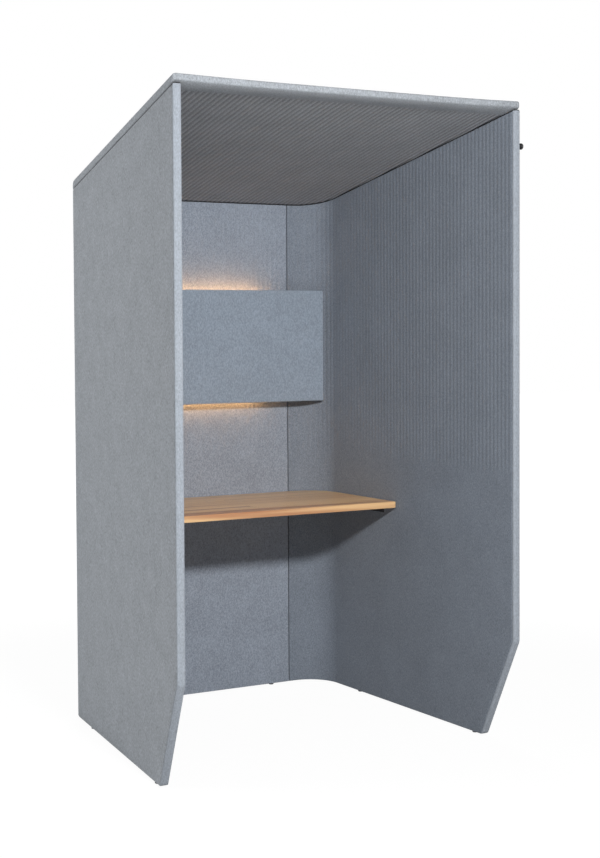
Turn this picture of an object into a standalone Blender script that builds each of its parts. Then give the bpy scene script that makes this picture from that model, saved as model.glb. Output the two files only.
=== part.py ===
"""Acoustic work booth: a felt-lined shell with a roof, a fitted desk and a back-lit panel.

The shell is two side walls with bent rear corners and a flat back wall between them. The side walls
open out and the roof rises towards the front. Each wall is a board with a felt cover outside and a
grooved felt liner inside. Lengths are in metres, +Z is up, the open side faces -Y. Pieces are modelled
from the front plane (y = 0), the floor (z = 0) and the middle plane (x = 0) of the booth, and hang on
one empty that centres the whole on its own box.
"""
import math
from functools import partial

import bmesh
import bpy
from mathutils import Vector

# Shell
FRONT_WIDTH = 1.226
REAR_WIDTH = 1.054
BOOTH_DEPTH = 1.182
WALL_BOTTOM = 0.006
FRONT_WALL_TOP = 2.084
REAR_WALL_TOP = 1.850
INNER_CORNER_RADIUS = 0.125
SEAM_LEAD = 0.024
COVER_THICKNESS = 0.005
CORE_THICKNESS = 0.012
LINER_THICKNESS = 0.0084
SEAT_GAP = 0.0003

# Grooves of the felt liners
RIB_PITCH = 0.0194
RIB_HEIGHT = 0.0025
RIB_CREST_SHARE = 0.5
RIB_END_HEIGHT = 0.922
RIB_FADE = 0.030

# Front edge, with the slanted cut at its foot
BAND_DEPTH = 0.010
BAND_ROUNDING = 0.007
CUT_HEIGHT = 0.342
CUT_DEPTH = 0.162
KNEE_RADIUS = 0.040
FOOT_RADIUS = 0.020
BAND_BACK_RADIUS = 0.002
TRIM_ALLOWANCE = 0.004

# Tongue that joins a side wall to the back wall
SPLINE_WIDTH = 0.030
SPLINE_THICKNESS = 0.004
SPLINE_END_MARGIN = 0.012
FIT_CLEARANCE = 0.0004

# Roof
ROOF_SHADOW_GAP = 0.004
GASKET_INSET = 0.003
CEILING_THICKNESS = 0.007
ROOF_CORE_THICKNESS = 0.013
ROOF_COVER_THICKNESS = 0.008
ROOF_EDGE_ROUNDING = 0.006
ROOF_FRONT_RADIUS = 0.010
ROOF_LIP_DEPTH = 0.062
ROOF_NOSE_DEPTH = 0.056
ROOF_NOSE_HEIGHT = 0.012
ROOF_LEDGE = 0.0005
DOWEL_RADIUS = 0.003
DOWEL_BITE_WALL = 0.022
DOWEL_BITE_ROOF = 0.007
DOWEL_FRONT_INSET = 0.220
DOWEL_REAR_INSET = 0.280

# Levelling glides
GLIDE_RADIUS = 0.0095
GLIDE_STEM_RADIUS = 0.003
GLIDE_STEM_LENGTH = 0.026
GLIDE_FRONT_MARGIN = 0.045
GLIDE_REAR_INSET = 0.280
GLIDE_SEAM_MARGIN = 0.071

# Desk and its angle brackets
DESK_TOP_HEIGHT = 0.750
DESK_THICKNESS = 0.023
DESK_DEPTH = 0.508
DESK_GAP = 0.003
DESK_ROUNDING = 0.002
DESK_FRONT_RADIUS = 0.004
BRACKET_LEG = 0.024
BRACKET_THICKNESS = 0.003
BRACKET_SETBACK = 0.080
SIDE_BRACKET_LENGTH = 0.270
BRACKET_SEAM_MARGIN = 0.061
BRACKET_SCREW_MARGIN = 0.045
SCREW_RADIUS = 0.0022
SCREW_HEAD_RADIUS = 0.0045
SCREW_HEAD_HEIGHT = 0.0026
SCREW_CROWN_SHARE = 0.6
SCREW_RIM_SHARE = 0.4
WALL_SCREW_BITE = 0.008
DESK_SCREW_BITE = 0.015

# Back-lit panel and what carries it
PANEL_SIDE_GAP = 0.027
PANEL_BOTTOM = 1.102
PANEL_HEIGHT = 0.424
PANEL_STANDOFF = 0.075
PANEL_BOARD_THICKNESS = 0.008
PANEL_FELT_THICKNESS = 0.008
PANEL_EDGE_TAPER = 0.014
PANEL_CORNER_RADIUS = 0.006
PANEL_CROWN = 0.0015
RAIL_END_MARGIN = 0.174
RAIL_THICKNESS = 0.003
RAIL_FLANGE = 0.034
RAIL_FROM_EDGE = 0.130
HOOK_DEPTH = 0.014
HOOK_SLACK = 0.0015
LIP_REACH = 0.036

# Light channels on the back of the panel
LIGHT_END_MARGIN = 0.246
LIGHT_FROM_EDGE = 0.030
CHANNEL_WIDTH = 0.018
CHANNEL_DEPTH = 0.012
CHANNEL_WALL = 0.0018
TAPE_WIDTH = 0.010
TAPE_THICKNESS = 0.0015
DIFFUSER_THICKNESS = 0.0016
DRIVER_LENGTH = 0.160
DRIVER_HEIGHT = 0.040
DRIVER_DEPTH = 0.022
DRIVER_ROUNDING = 0.004
DRIVER_RISE = 0.185

# Power inlet of the lights, in the back wall
INLET_RADIUS = 0.016
INLET_FLANGE_RADIUS = 0.021
INLET_FLANGE = 0.0015
INLET_SOCKET_RADIUS = 0.007
INLET_SOCKET_DEPTH = 0.003
INLET_ACROSS = 0.150
INLET_RAIL_GAP = 0.008

# Coat peg on the outside of the right wall
PEG_REACH = 0.032
PEG_HEAD_RADIUS = 0.0105
PEG_HEAD_LENGTH = 0.009
PEG_NECK_RADIUS = 0.006
PEG_FOOT_RADIUS = 0.009
PEG_FOOT_LENGTH = 0.004
PEG_STUD_RADIUS = 0.003
PEG_STUD_BITE = 0.009
PEG_HEIGHT = 1.973
PEG_SETBACK = 0.030

# Smoothness of round stretches
CORNER_STEPS = 12
FILLET_STEPS = 4
EDGE_STEPS = 3
TURN_SIDES = 16
CUT_MARGIN = 0.020
HOLE_MARGIN = 0.0005

# What follows from the sizes above
WALL_THICKNESS = COVER_THICKNESS + CORE_THICKNESS + LINER_THICKNESS + 2 * SEAT_GAP
CORE_DEPTH = COVER_THICKNESS + SEAT_GAP
CORE_MIDDLE = CORE_DEPTH + CORE_THICKNESS / 2
LINER_DEPTH = CORE_DEPTH + CORE_THICKNESS + SEAT_GAP
FRONT_HALF = FRONT_WIDTH / 2
SPREAD = (FRONT_WIDTH - REAR_WIDTH) / 2 / BOOTH_DEPTH
FLARE = math.atan(SPREAD)
ROOF_FALL = (FRONT_WALL_TOP - REAR_WALL_TOP) / BOOTH_DEPTH
INNER_BACK = BOOTH_DEPTH - WALL_THICKNESS
OUTER_RADIUS = INNER_CORNER_RADIUS + WALL_THICKNESS
CORNER_Y = BOOTH_DEPTH - OUTER_RADIUS
CORNER_X = FRONT_HALF - CORNER_Y * SPREAD - OUTER_RADIUS / math.cos(FLARE)
SEAM_X = CORNER_X - SEAM_LEAD
LAYER_FRONT = BAND_DEPTH + SEAT_GAP
LINER_JOINT = RIB_END_HEIGHT - RIB_FADE
CUT_TOP = WALL_BOTTOM + CUT_HEIGHT
ROOF_BOTTOM = FRONT_WALL_TOP + ROOF_SHADOW_GAP
ROOF_CORE_BOTTOM = ROOF_BOTTOM + CEILING_THICKNESS + SEAT_GAP
ROOF_CORE_TOP = ROOF_CORE_BOTTOM + ROOF_CORE_THICKNESS
ROOF_TOP = ROOF_CORE_TOP + SEAT_GAP + ROOF_COVER_THICKNESS
GLIDE_BACK_REACH = SEAM_X - GLIDE_SEAM_MARGIN
DESK_FRONT_SETBACK = INNER_BACK - DESK_GAP - DESK_DEPTH
BRACKET_TOP = DESK_TOP_HEIGHT - DESK_THICKNESS - SEAT_GAP
BACK_BRACKET_LENGTH = 2 * (SEAM_X - BRACKET_SEAM_MARGIN)
PANEL_TOP = PANEL_BOTTOM + PANEL_HEIGHT
INLET_HEIGHT = PANEL_BOTTOM + RAIL_FROM_EDGE - INLET_RAIL_GAP - INLET_FLANGE_RADIUS
PANEL_FRONT = INNER_BACK - PANEL_STANDOFF
PANEL_BACK = PANEL_FRONT + PANEL_FELT_THICKNESS + SEAT_GAP + PANEL_BOARD_THICKNESS
PANEL_WALL = FRONT_HALF - PANEL_FRONT * SPREAD - WALL_THICKNESS / math.cos(FLARE)
PANEL_HALF_WIDTH = PANEL_WALL - PANEL_SIDE_GAP
RAIL_LENGTH = 2 * (PANEL_HALF_WIDTH - RAIL_END_MARGIN)
LIGHT_LENGTH = 2 * (PANEL_HALF_WIDTH - LIGHT_END_MARGIN)


class Finish:
    """A plain surface: a colour, how rough it is and whether it is metal."""

    def __init__(self, name, colour, roughness, metallic=0.0):
        self.material = bpy.data.materials.new(name)
        self.material.use_nodes = True
        shader = self.material.node_tree.nodes["Principled BSDF"]
        shader.inputs["Base Color"].default_value = (*colour, 1.0)
        shader.inputs["Roughness"].default_value = roughness
        shader.inputs["Metallic"].default_value = metallic


def clear_scene():
    """Remove every object that is already in the file."""
    for thing in list(bpy.data.objects):
        bpy.data.objects.remove(thing, do_unlink=True)


def empty(name, location, parent=None):
    """Add an empty that carries pieces."""
    holder = bpy.data.objects.new(name, None)
    holder.location = location
    holder.parent = parent
    bpy.context.collection.objects.link(holder)
    return holder


def add_mesh(name, bm, parent, finish=None, smooth_angle=None):
    """Turn a bmesh into a named object with its faces pointing out."""
    bmesh.ops.recalc_face_normals(bm, faces=bm.faces)
    mesh = bpy.data.meshes.new(name)
    bm.to_mesh(mesh)
    bm.free()
    if smooth_angle is not None:
        mesh.shade_smooth()
        mesh.set_sharp_from_angle(angle=math.radians(smooth_angle))
    piece = bpy.data.objects.new(name, mesh)
    piece.parent = parent
    bpy.context.collection.objects.link(piece)
    if finish is None:
        piece.hide_render = True
        piece.display_type = "WIRE"
    else:
        mesh.materials.append(finish.material)
    return piece


def loft(name, loops, parent, finish=None, smooth_angle=40):
    """Join closed loops of equal count into one solid, capped at both ends."""
    bm = bmesh.new()
    rows = [[bm.verts.new(point) for point in loop] for loop in loops]
    count = len(rows[0])
    for low, high in zip(rows, rows[1:]):
        for i in range(count):
            j = (i + 1) % count
            bm.faces.new((low[i], low[j], high[j], high[i]))
    bm.faces.new(rows[0])
    bm.faces.new(rows[-1])
    return add_mesh(name, bm, parent, finish, smooth_angle)


def upright(name, outline, low, high, parent, finish=None):
    """A prism that stands on a plan outline, with level ends."""
    return loft(name, [[(x, y, z) for x, y in outline] for z in (low, high)], parent, finish)


def roofwards(outline, height):
    """A loop over a plan outline on a plane that slopes with the roof, at a height given at the front."""
    return [(x, y, height - y * ROOF_FALL) for x, y in outline]


def under_roof(name, outline, low, high, parent, finish=None):
    """A prism that stands on a plan outline, with a level foot and a top that slopes with the roof."""
    foot = [(x, y, low) for x, y in outline]
    return loft(name, [foot, roofwards(outline, high)], parent, finish)


def in_roof(name, outline, low, high, parent, finish=None):
    """A slab over a plan outline whose two faces slope with the roof."""
    return loft(name, [roofwards(outline, low), roofwards(outline, high)], parent, finish)


def along_x(name, outline, low, high, parent, finish=None):
    """A prism that runs along X with a section given as (y, z)."""
    return loft(name, [[(x, y, z) for y, z in outline] for x in (low, high)], parent, finish)


def along_wall(name, outline, low, high, side, parent, finish=None):
    """A prism that runs back along a side wall, with a section given as (x, z) at the front plane."""
    loops = [[(side * (x - y * SPREAD), y, z) for x, z in outline] for y in (low, high)]
    return loft(name, loops, parent, finish)


def along_roof(name, outline, low, high, parent, finish=None):
    """A prism that runs back and down with the roof, with a section given as (x, z) at the front plane."""
    loops = [[(x, y, z - y * ROOF_FALL) for x, z in outline] for y in (low, high)]
    return loft(name, loops, parent, finish)


def turned(name, profile, place, axis, parent, finish=None):
    """A turned piece. Its profile is (radius, distance along the axis), with a zero radius at both ends."""
    bm = bmesh.new()
    rings = []
    for radius, height in profile:
        if radius == 0.0:
            rings.append([bm.verts.new((0.0, 0.0, height))])
            continue
        angles = [2 * math.pi * i / TURN_SIDES for i in range(TURN_SIDES)]
        rings.append([bm.verts.new((radius * math.cos(a), radius * math.sin(a), height)) for a in angles])
    for low, high in zip(rings, rings[1:]):
        for i in range(TURN_SIDES):
            j = (i + 1) % TURN_SIDES
            corners = [low[i % len(low)], low[j % len(low)], high[j % len(high)], high[i % len(high)]]
            bm.faces.new(list(dict.fromkeys(corners)))
    piece = add_mesh(name, bm, parent, finish, smooth_angle=40)
    piece.location = place
    piece.rotation_mode = "QUATERNION"
    piece.rotation_quaternion = Vector((0, 0, 1)).rotation_difference(Vector(axis))
    return piece


def drill(name, radius, low, high, place, axis, parent, *targets):
    """Bore a round hole along an axis through each of the targets."""
    profile = [(0.0, low), (radius, low), (radius, high), (0.0, high)]
    tool = turned(name, profile, place, axis, parent)
    for target in targets:
        cut(target, tool)


def cut(target, tool, operation="DIFFERENCE"):
    """Cut one piece with another."""
    modifier = target.modifiers.new(tool.name, "BOOLEAN")
    modifier.operation = operation
    modifier.solver = "EXACT"
    modifier.object = tool


def arc(centre, radius, start, end, steps):
    """Points of an arc, both ends included. Angles are in degrees."""
    points = []
    for i in range(steps + 1):
        angle = math.radians(start + (end - start) * i / steps)
        points.append((centre[0] + radius * math.cos(angle), centre[1] + radius * math.sin(angle)))
    return points


def fillet(before, corner, after, radius, steps):
    """The arc that rounds one corner of an outline."""
    corner = Vector(corner)
    back = (Vector(before) - corner).normalized()
    ahead = (Vector(after) - corner).normalized()
    half = back.angle(ahead) / 2
    centre = corner + (back + ahead).normalized() * (radius / math.sin(half))
    first = corner + back * (radius / math.tan(half)) - centre
    last = corner + ahead * (radius / math.tan(half)) - centre
    turns = [first.slerp(last, i / steps).normalized() for i in range(steps + 1)]
    return [tuple(centre + turn * radius) for turn in turns]


def rounded(corners, radii, steps):
    """A closed outline with each of its corners rounded."""
    outline = []
    for i, corner in enumerate(corners):
        after = corners[(i + 1) % len(corners)]
        outline += fillet(corners[i - 1], corner, after, radii[i], steps[i])
    return outline


def quarter(radius):
    """A quarter round as (inset from one side, inset from the other), from the first side to the second."""
    turns = [math.pi / 2 * i / EDGE_STEPS for i in range(EDGE_STEPS + 1)]
    return [(radius * (1 - math.sin(a)), radius * (1 - math.cos(a))) for a in turns]


def face_x(depth, y):
    """How far from the middle plane the right wall lies at a given y, a depth below its outer face."""
    return FRONT_HALF - y * SPREAD - depth / math.cos(FLARE)


def wall_line(depth, side, front):
    """Plan line of a side wall, a depth below its outer face, from its front end to the seam."""
    points = [(face_x(depth, front), front)]
    points += arc((CORNER_X, CORNER_Y), OUTER_RADIUS - depth, math.degrees(FLARE), 90, CORNER_STEPS)
    points.append((SEAM_X + SEAT_GAP / 2, BOOTH_DEPTH - depth))
    return [(side * x, y) for x, y in points]


def wall_layer(depth, thickness, side):
    """Plan outline of one layer of a side wall."""
    outer = wall_line(depth, side, LAYER_FRONT - TRIM_ALLOWANCE)
    inner = wall_line(depth + thickness, side, LAYER_FRONT - TRIM_ALLOWANCE)
    return outer + inner[::-1]


def groove(line_depth):
    """Plan points of the groove for the tongue at the end of a board, as (reach into the board, depth)."""
    half = SPLINE_THICKNESS / 2 + FIT_CLEARANCE
    reach = SPLINE_WIDTH / 2 + FIT_CLEARANCE
    near = line_depth - half
    far = line_depth + half
    return [(0.0, near), (reach, near), (reach, far), (0.0, far)]


def rib_shares():
    """Where a rib turns, as (share of the pitch, share of the height): a groove, then a crest."""
    side = (1 - RIB_CREST_SHARE) / 2
    return [(0.0, 0.0), (side, 1.0), (1 - side, 1.0)]


def rib_stations(length):
    """Places along a ribbed line of a given length, as (distance, share of the rib height)."""
    count = max(1, round(length / RIB_PITCH))
    pitch = length / count
    stations = [(pitch * (i + share), height) for i in range(count) for share, height in rib_shares()]
    return stations + [(length, 0.0)]


def side_rib_line(side, depth_of_groove):
    """Inner plan line of a side wall's liner, with its grooves cut to the depth given."""
    radius = INNER_CORNER_RADIUS
    outward = (math.cos(FLARE), math.sin(FLARE))
    straight = (CORNER_Y + radius * outward[1] - LAYER_FRONT) / outward[0]
    bend = radius * (math.pi / 2 - FLARE)
    lead = CORNER_X - SEAM_X - SEAT_GAP / 2
    points = []
    for distance, height in rib_stations(straight + bend + lead):
        sink = (1 - height) * depth_of_groove
        if distance <= straight:
            y = LAYER_FRONT + distance * outward[0]
            point = (face_x(WALL_THICKNESS, y) + sink * outward[0], y + sink * outward[1])
        elif distance <= straight + bend:
            turn = FLARE + (distance - straight) / radius
            swing = radius + sink
            point = (CORNER_X + swing * math.cos(turn), CORNER_Y + swing * math.sin(turn))
        else:
            point = (CORNER_X - (distance - straight - bend), INNER_BACK + sink)
        points.append((side * point[0], point[1]))
    return points


def back_rib_line(depth_of_groove):
    """Inner plan line of the back wall's liner, with its grooves cut to the depth given."""
    half = SEAM_X - SEAT_GAP / 2
    stations = rib_stations(2 * half)
    return [(distance - half, INNER_BACK + (1 - height) * depth_of_groove) for distance, height in stations]


def ribbed_liner(name, outer, inner_at, parent, finish):
    """An upper felt liner: grooved from the top down to where its grooves run out."""
    levels = [(LINER_JOINT, 0.0), (RIB_END_HEIGHT, RIB_HEIGHT)]
    loops = []
    for height, sink in levels:
        loops.append([(x, y, height) for x, y in outer + inner_at(sink)[::-1]])
    loops.append(roofwards(outer + inner_at(RIB_HEIGHT)[::-1], FRONT_WALL_TOP))
    return loft(name, loops, parent, finish, smooth_angle=25)


def front_edge(inset):
    """Front edge of a side wall as (y, z) from top to foot, moved into the wall by an inset."""
    length = math.hypot(CUT_DEPTH, CUT_HEIGHT)
    slant = (CUT_DEPTH / length, -CUT_HEIGHT / length)
    normal = (CUT_HEIGHT / length, CUT_DEPTH / length)
    start = (normal[0] * inset, CUT_TOP + normal[1] * inset)
    to_knee = (inset - start[0]) / slant[0]
    knee = (inset, start[1] + to_knee * slant[1])
    to_foot = (WALL_BOTTOM - start[1]) / slant[1]
    foot = (start[0] + to_foot * slant[0], WALL_BOTTOM)
    share = min(inset / BAND_DEPTH, 1.0)
    foot_radius = FOOT_RADIUS + (BAND_BACK_RADIUS - FOOT_RADIUS) * share
    top = (inset, FRONT_WALL_TOP - inset * ROOF_FALL)
    behind = (BOOTH_DEPTH, WALL_BOTTOM)
    points = [top]
    points += fillet(top, knee, foot, KNEE_RADIUS - inset, FILLET_STEPS)
    points += fillet(knee, foot, behind, foot_radius, FILLET_STEPS)
    return points


def make_edge_band(name, side, parent, finish):
    """The felt edging that follows a side wall's front edge and its slanted cut."""
    round_over = quarter(BAND_ROUNDING)
    section = [(0.0, BAND_DEPTH)]
    section += [(across, inset) for inset, across in round_over]
    section += [(WALL_THICKNESS - across, inset) for inset, across in reversed(round_over)]
    section.append((WALL_THICKNESS, BAND_DEPTH))
    edges = [(across, front_edge(inset)) for across, inset in section]
    loops = []
    for i in range(len(edges[0][1])):
        places = [(across, *edge[i]) for across, edge in edges]
        loops.append([(side * face_x(across, y), y, z) for across, y, z in places])
    return loft(name, loops, parent, finish)


def make_front_tool(side, parent):
    """The tool that trims a side wall's layers to the back of the edging."""
    edge = front_edge(LAYER_FRONT)
    top = (edge[0][0], FRONT_WALL_TOP + CUT_MARGIN)
    foot = (edge[-1][0], WALL_BOTTOM - CUT_MARGIN)
    outline = [top] + edge[1:] + [foot, (-CUT_MARGIN, foot[1]), (-CUT_MARGIN, top[1])]
    inner = face_x(WALL_THICKNESS, foot[0]) - CUT_MARGIN
    reach = sorted(side * x for x in (inner, FRONT_HALF + CUT_MARGIN))
    return along_x(f"front_tool_{side}", outline, reach[0], reach[1], parent)


def make_side_wall(label, side, parent, finishes):
    """One side wall: board, outer cover, grooved liner and front edging."""
    board = wall_line(CORE_DEPTH, side, LAYER_FRONT - TRIM_ALLOWANCE)
    end = SEAM_X + SEAT_GAP / 2
    notch = [(side * (end + reach), BOOTH_DEPTH - depth) for reach, depth in groove(CORE_MIDDLE)]
    board += notch
    board += wall_line(CORE_DEPTH + CORE_THICKNESS, side, LAYER_FRONT - TRIM_ALLOWANCE)[::-1]
    name = f"{label}_wall_board"
    core = under_roof(name, board, WALL_BOTTOM, FRONT_WALL_TOP, parent, finishes["board"])
    outline = wall_layer(0.0, COVER_THICKNESS, side)
    name = f"{label}_wall_cover"
    cover = under_roof(name, outline, WALL_BOTTOM, FRONT_WALL_TOP, parent, finishes["cover"])
    outline = wall_layer(LINER_DEPTH, LINER_THICKNESS, side)
    top = LINER_JOINT - SEAT_GAP
    liner = upright(f"{label}_wall_lower_liner", outline, WALL_BOTTOM, top, parent, finishes["liner"])
    tool = make_front_tool(side, parent)
    for layer in (core, cover, liner):
        cut(layer, tool)
    outer = wall_line(LINER_DEPTH, side, LAYER_FRONT)
    inner_at = partial(side_rib_line, side)
    ribbed_liner(f"{label}_wall_ribbed_liner", outer, inner_at, parent, finishes["liner"])
    make_edge_band(f"{label}_edge_band", side, parent, finishes["band"])
    return core, cover, liner


def make_back_wall(parent, finishes):
    """The flat back wall: board, outer cover and grooved liner."""
    half = SEAM_X - SEAT_GAP / 2
    near = BOOTH_DEPTH - CORE_DEPTH
    far = near - CORE_THICKNESS
    notch = [(half - reach, BOOTH_DEPTH - depth) for reach, depth in groove(CORE_MIDDLE)]
    board = [(-half, near), (half, near)] + notch + [(half, far), (-half, far)]
    board += [(-x, y) for x, y in reversed(notch)]
    name = "back_wall_board"
    core = under_roof(name, board, WALL_BOTTOM, FRONT_WALL_TOP, parent, finishes["board"])
    skin = [(-half, BOOTH_DEPTH), (half, BOOTH_DEPTH)]
    skin += [(half, BOOTH_DEPTH - COVER_THICKNESS), (-half, BOOTH_DEPTH - COVER_THICKNESS)]
    name = "back_wall_cover"
    cover = under_roof(name, skin, WALL_BOTTOM, FRONT_WALL_TOP, parent, finishes["cover"])
    outer = [(-half, BOOTH_DEPTH - LINER_DEPTH), (half, BOOTH_DEPTH - LINER_DEPTH)]
    ribbed = ribbed_liner("back_wall_ribbed_liner", outer, back_rib_line, parent, finishes["liner"])
    plain = outer + [(half, INNER_BACK), (-half, INNER_BACK)]
    top = LINER_JOINT - SEAT_GAP
    liner = upright("back_wall_lower_liner", plain, WALL_BOTTOM, top, parent, finishes["liner"])
    return core, cover, liner, ribbed


def make_spline(label, side, parent, finish):
    """The tongue that joins a side wall's board to the back wall's board."""
    near = BOOTH_DEPTH - CORE_MIDDLE - SPLINE_THICKNESS / 2
    far = near + SPLINE_THICKNESS
    start = side * SEAM_X - SPLINE_WIDTH / 2
    end = start + SPLINE_WIDTH
    outline = [(start, near), (end, near), (end, far), (start, far)]
    low = WALL_BOTTOM + SPLINE_END_MARGIN
    high = REAR_WALL_TOP - SPLINE_END_MARGIN
    upright(f"{label}_seam_tongue", outline, low, high, parent, finish)


def roof_outline(inset, front=None):
    """Plan outline of the roof, moved in by an inset, or by another one at the front."""
    front = inset if front is None else front
    front_radius = max(ROOF_FRONT_RADIUS - inset, SEAT_GAP * 2)
    rear_radius = OUTER_RADIUS - inset
    rear = BOOTH_DEPTH - inset
    near, far = face_x(inset, front), face_x(inset, rear)
    corners = [(-near, front), (near, front), (far, rear), (-far, rear)]
    radii = [front_radius, front_radius, rear_radius, rear_radius]
    return rounded(corners, radii, [FILLET_STEPS, FILLET_STEPS, CORNER_STEPS, CORNER_STEPS])


def make_roof(parent, finishes):
    """The roof: a soft cover that turns under its board at the front, and the grooved ceiling behind that."""
    lining = ROOF_COVER_THICKNESS
    lip_top = ROOF_BOTTOM + CEILING_THICKNESS
    round_over = quarter(ROOF_EDGE_ROUNDING)
    nose = ROOF_NOSE_DEPTH / ROOF_NOSE_HEIGHT
    rings = [(lining, lining, ROOF_CORE_TOP + SEAT_GAP), (lining, lining, lip_top)]
    rings += [(lining - ROOF_LEDGE, ROOF_LIP_DEPTH, z) for z in (lip_top, ROOF_BOTTOM)]
    for inset, rise in quarter(ROOF_NOSE_HEIGHT):
        short = max(ROOF_EDGE_ROUNDING - rise, 0.0)
        side = ROOF_EDGE_ROUNDING - math.sqrt(ROOF_EDGE_ROUNDING**2 - short**2)
        rings.append((side, inset * nose, ROOF_BOTTOM + rise))
    rings += [(inset, inset, ROOF_TOP - fall) for inset, fall in reversed(round_over)]
    loops = [roofwards(roof_outline(inset, front), z) for inset, front, z in rings]
    loft("roof_cover", loops, parent, finishes["cover"])
    outline = roof_outline(lining + SEAT_GAP)
    core = in_roof("roof_board", outline, ROOF_CORE_BOTTOM, ROOF_CORE_TOP, parent, finishes["board"])
    half = FRONT_HALF - lining - SEAT_GAP + TRIM_ALLOWANCE
    stations = rib_stations(2 * half)
    underside = [(place - half, ROOF_BOTTOM + (1 - height) * RIB_HEIGHT) for place, height in stations]
    top = ROOF_BOTTOM + CEILING_THICKNESS
    section = [(half, top), (-half, top)] + underside
    rear = BOOTH_DEPTH + CUT_MARGIN
    ceiling = along_roof("ceiling_liner", section, -CUT_MARGIN, rear, parent, finishes["ceiling"])
    behind = roof_outline(lining + SEAT_GAP, ROOF_LIP_DEPTH + SEAT_GAP)
    tool = in_roof("ceiling_tool", behind, ROOF_BOTTOM - CUT_MARGIN, top + CUT_MARGIN, parent)
    cut(ceiling, tool, "INTERSECT")
    return core, ceiling


def make_gasket(parent, finish):
    """The black strip that the roof sits on, seen as a thin line above the walls."""
    outer = wall_line(GASKET_INSET, 1, GASKET_INSET)[:-1]
    inner = wall_line(WALL_THICKNESS - GASKET_INSET, 1, GASKET_INSET)[:-1]
    loop = outer + [(-x, y) for x, y in reversed(outer)]
    loop += [(-x, y) for x, y in inner] + inner[::-1]
    low = FRONT_WALL_TOP + SEAT_GAP
    return in_roof("roof_gasket", loop, low, ROOF_BOTTOM - SEAT_GAP, parent, finish)


def make_dowel(name, place, boards, parent, finish):
    """A pin that locates the roof on a wall."""
    top = ROOF_CORE_BOTTOM + DOWEL_BITE_ROOF - FRONT_WALL_TOP
    low = -DOWEL_BITE_WALL
    up = (0, 0, 1)
    profile = [(0.0, low), (DOWEL_RADIUS, low), (DOWEL_RADIUS, top), (0.0, top)]
    turned(name, profile, place, up, parent, finish)
    hole = DOWEL_RADIUS + FIT_CLEARANCE
    drill(f"{name}_hole", hole, low - HOLE_MARGIN, top + HOLE_MARGIN, place, up, parent, *boards)


def make_glide(name, x, y, board, parent, finish):
    """A levelling glide: a foot with a screw that turns in the edge of a wall board."""
    foot = WALL_BOTTOM - SEAT_GAP
    chamfer = foot / 4
    tip = WALL_BOTTOM + GLIDE_STEM_LENGTH
    profile = [(0.0, 0.0), (GLIDE_RADIUS - chamfer, 0.0), (GLIDE_RADIUS, chamfer), (GLIDE_RADIUS, foot)]
    profile += [(GLIDE_STEM_RADIUS, foot), (GLIDE_STEM_RADIUS, tip), (0.0, tip)]
    turned(name, profile, (x, y, 0.0), (0, 0, 1), parent, finish)
    hole = GLIDE_STEM_RADIUS + FIT_CLEARANCE
    drill(f"{name}_hole", hole, foot - CUT_MARGIN, tip + HOLE_MARGIN, (x, y, 0.0), (0, 0, 1), parent, board)


def desk_outline(inset):
    """Plan outline of the desk: a straight front, sides and rear corners that follow the walls."""
    depth = WALL_THICKNESS + DESK_GAP + inset
    front = DESK_FRONT_SETBACK + inset
    rear = INNER_BACK - DESK_GAP - inset
    near, far = face_x(depth, front), face_x(depth, rear)
    front_radius = DESK_FRONT_RADIUS - inset
    rear_radius = INNER_CORNER_RADIUS - DESK_GAP - inset
    corners = [(-near, front), (near, front), (far, rear), (-far, rear)]
    radii = [front_radius, front_radius, rear_radius, rear_radius]
    return rounded(corners, radii, [FILLET_STEPS, FILLET_STEPS, CORNER_STEPS, CORNER_STEPS])


def make_desk(parent, finish):
    """The solid wood desk top with its edges eased."""
    low = DESK_TOP_HEIGHT - DESK_THICKNESS
    rings = [(DESK_ROUNDING, low), (0.0, low + DESK_ROUNDING)]
    rings += [(0.0, DESK_TOP_HEIGHT - DESK_ROUNDING), (DESK_ROUNDING, DESK_TOP_HEIGHT)]
    loops = [[(x, y, z) for x, y in desk_outline(inset)] for inset, z in rings]
    return loft("desk_top", loops, parent, finish)


def angle_section(face):
    """Section of an angle bracket whose upright leg lies on a face, as (place across, height)."""
    low = BRACKET_TOP - BRACKET_LEG
    inner = face - BRACKET_THICKNESS
    tip = face - BRACKET_LEG
    under = BRACKET_TOP - BRACKET_THICKNESS
    upright_leg = [(face, BRACKET_TOP), (face, low), (inner, low), (inner, under)]
    return upright_leg + [(tip, under), (tip, BRACKET_TOP)]


def make_screw(name, length, place, axis, parent, finish):
    """A pan-head screw whose head seats at its place."""
    head = SCREW_HEAD_HEIGHT
    crown = SCREW_HEAD_RADIUS * SCREW_CROWN_SHARE
    profile = [(0.0, -head), (crown, -head), (SCREW_HEAD_RADIUS, -head * SCREW_RIM_SHARE)]
    profile += [(SCREW_HEAD_RADIUS, 0.0), (SCREW_RADIUS, 0.0)]
    profile += [(SCREW_RADIUS, length - SCREW_RADIUS), (0.0, length)]
    turned(name, profile, place, axis, parent, finish)


def make_bracket_screws(label, pieces, wall_places, wall_axis, desk_places, parent, finish):
    """The screws of one bracket: some into the wall board, some up into the desk."""
    bracket, liner, board, desk = pieces
    grip = 2 * SEAT_GAP + BRACKET_THICKNESS
    hole = SCREW_RADIUS + FIT_CLEARANCE
    low = -SEAT_GAP
    for i, place in enumerate(wall_places):
        length = grip + LINER_THICKNESS + SEAT_GAP + WALL_SCREW_BITE
        name = f"{label}_wall_screw_{i + 1}"
        make_screw(name, length, place, wall_axis, parent, finish)
        end = length + HOLE_MARGIN
        drill(f"{name}_hole", hole, low, end, place, wall_axis, parent, bracket, liner, board)
    for i, place in enumerate(desk_places):
        length = grip + DESK_SCREW_BITE
        name = f"{label}_desk_screw_{i + 1}"
        make_screw(name, length, place, (0, 0, 1), parent, finish)
        end = length + HOLE_MARGIN
        drill(f"{name}_hole", hole, low, end, place, (0, 0, 1), parent, bracket, desk)


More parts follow.
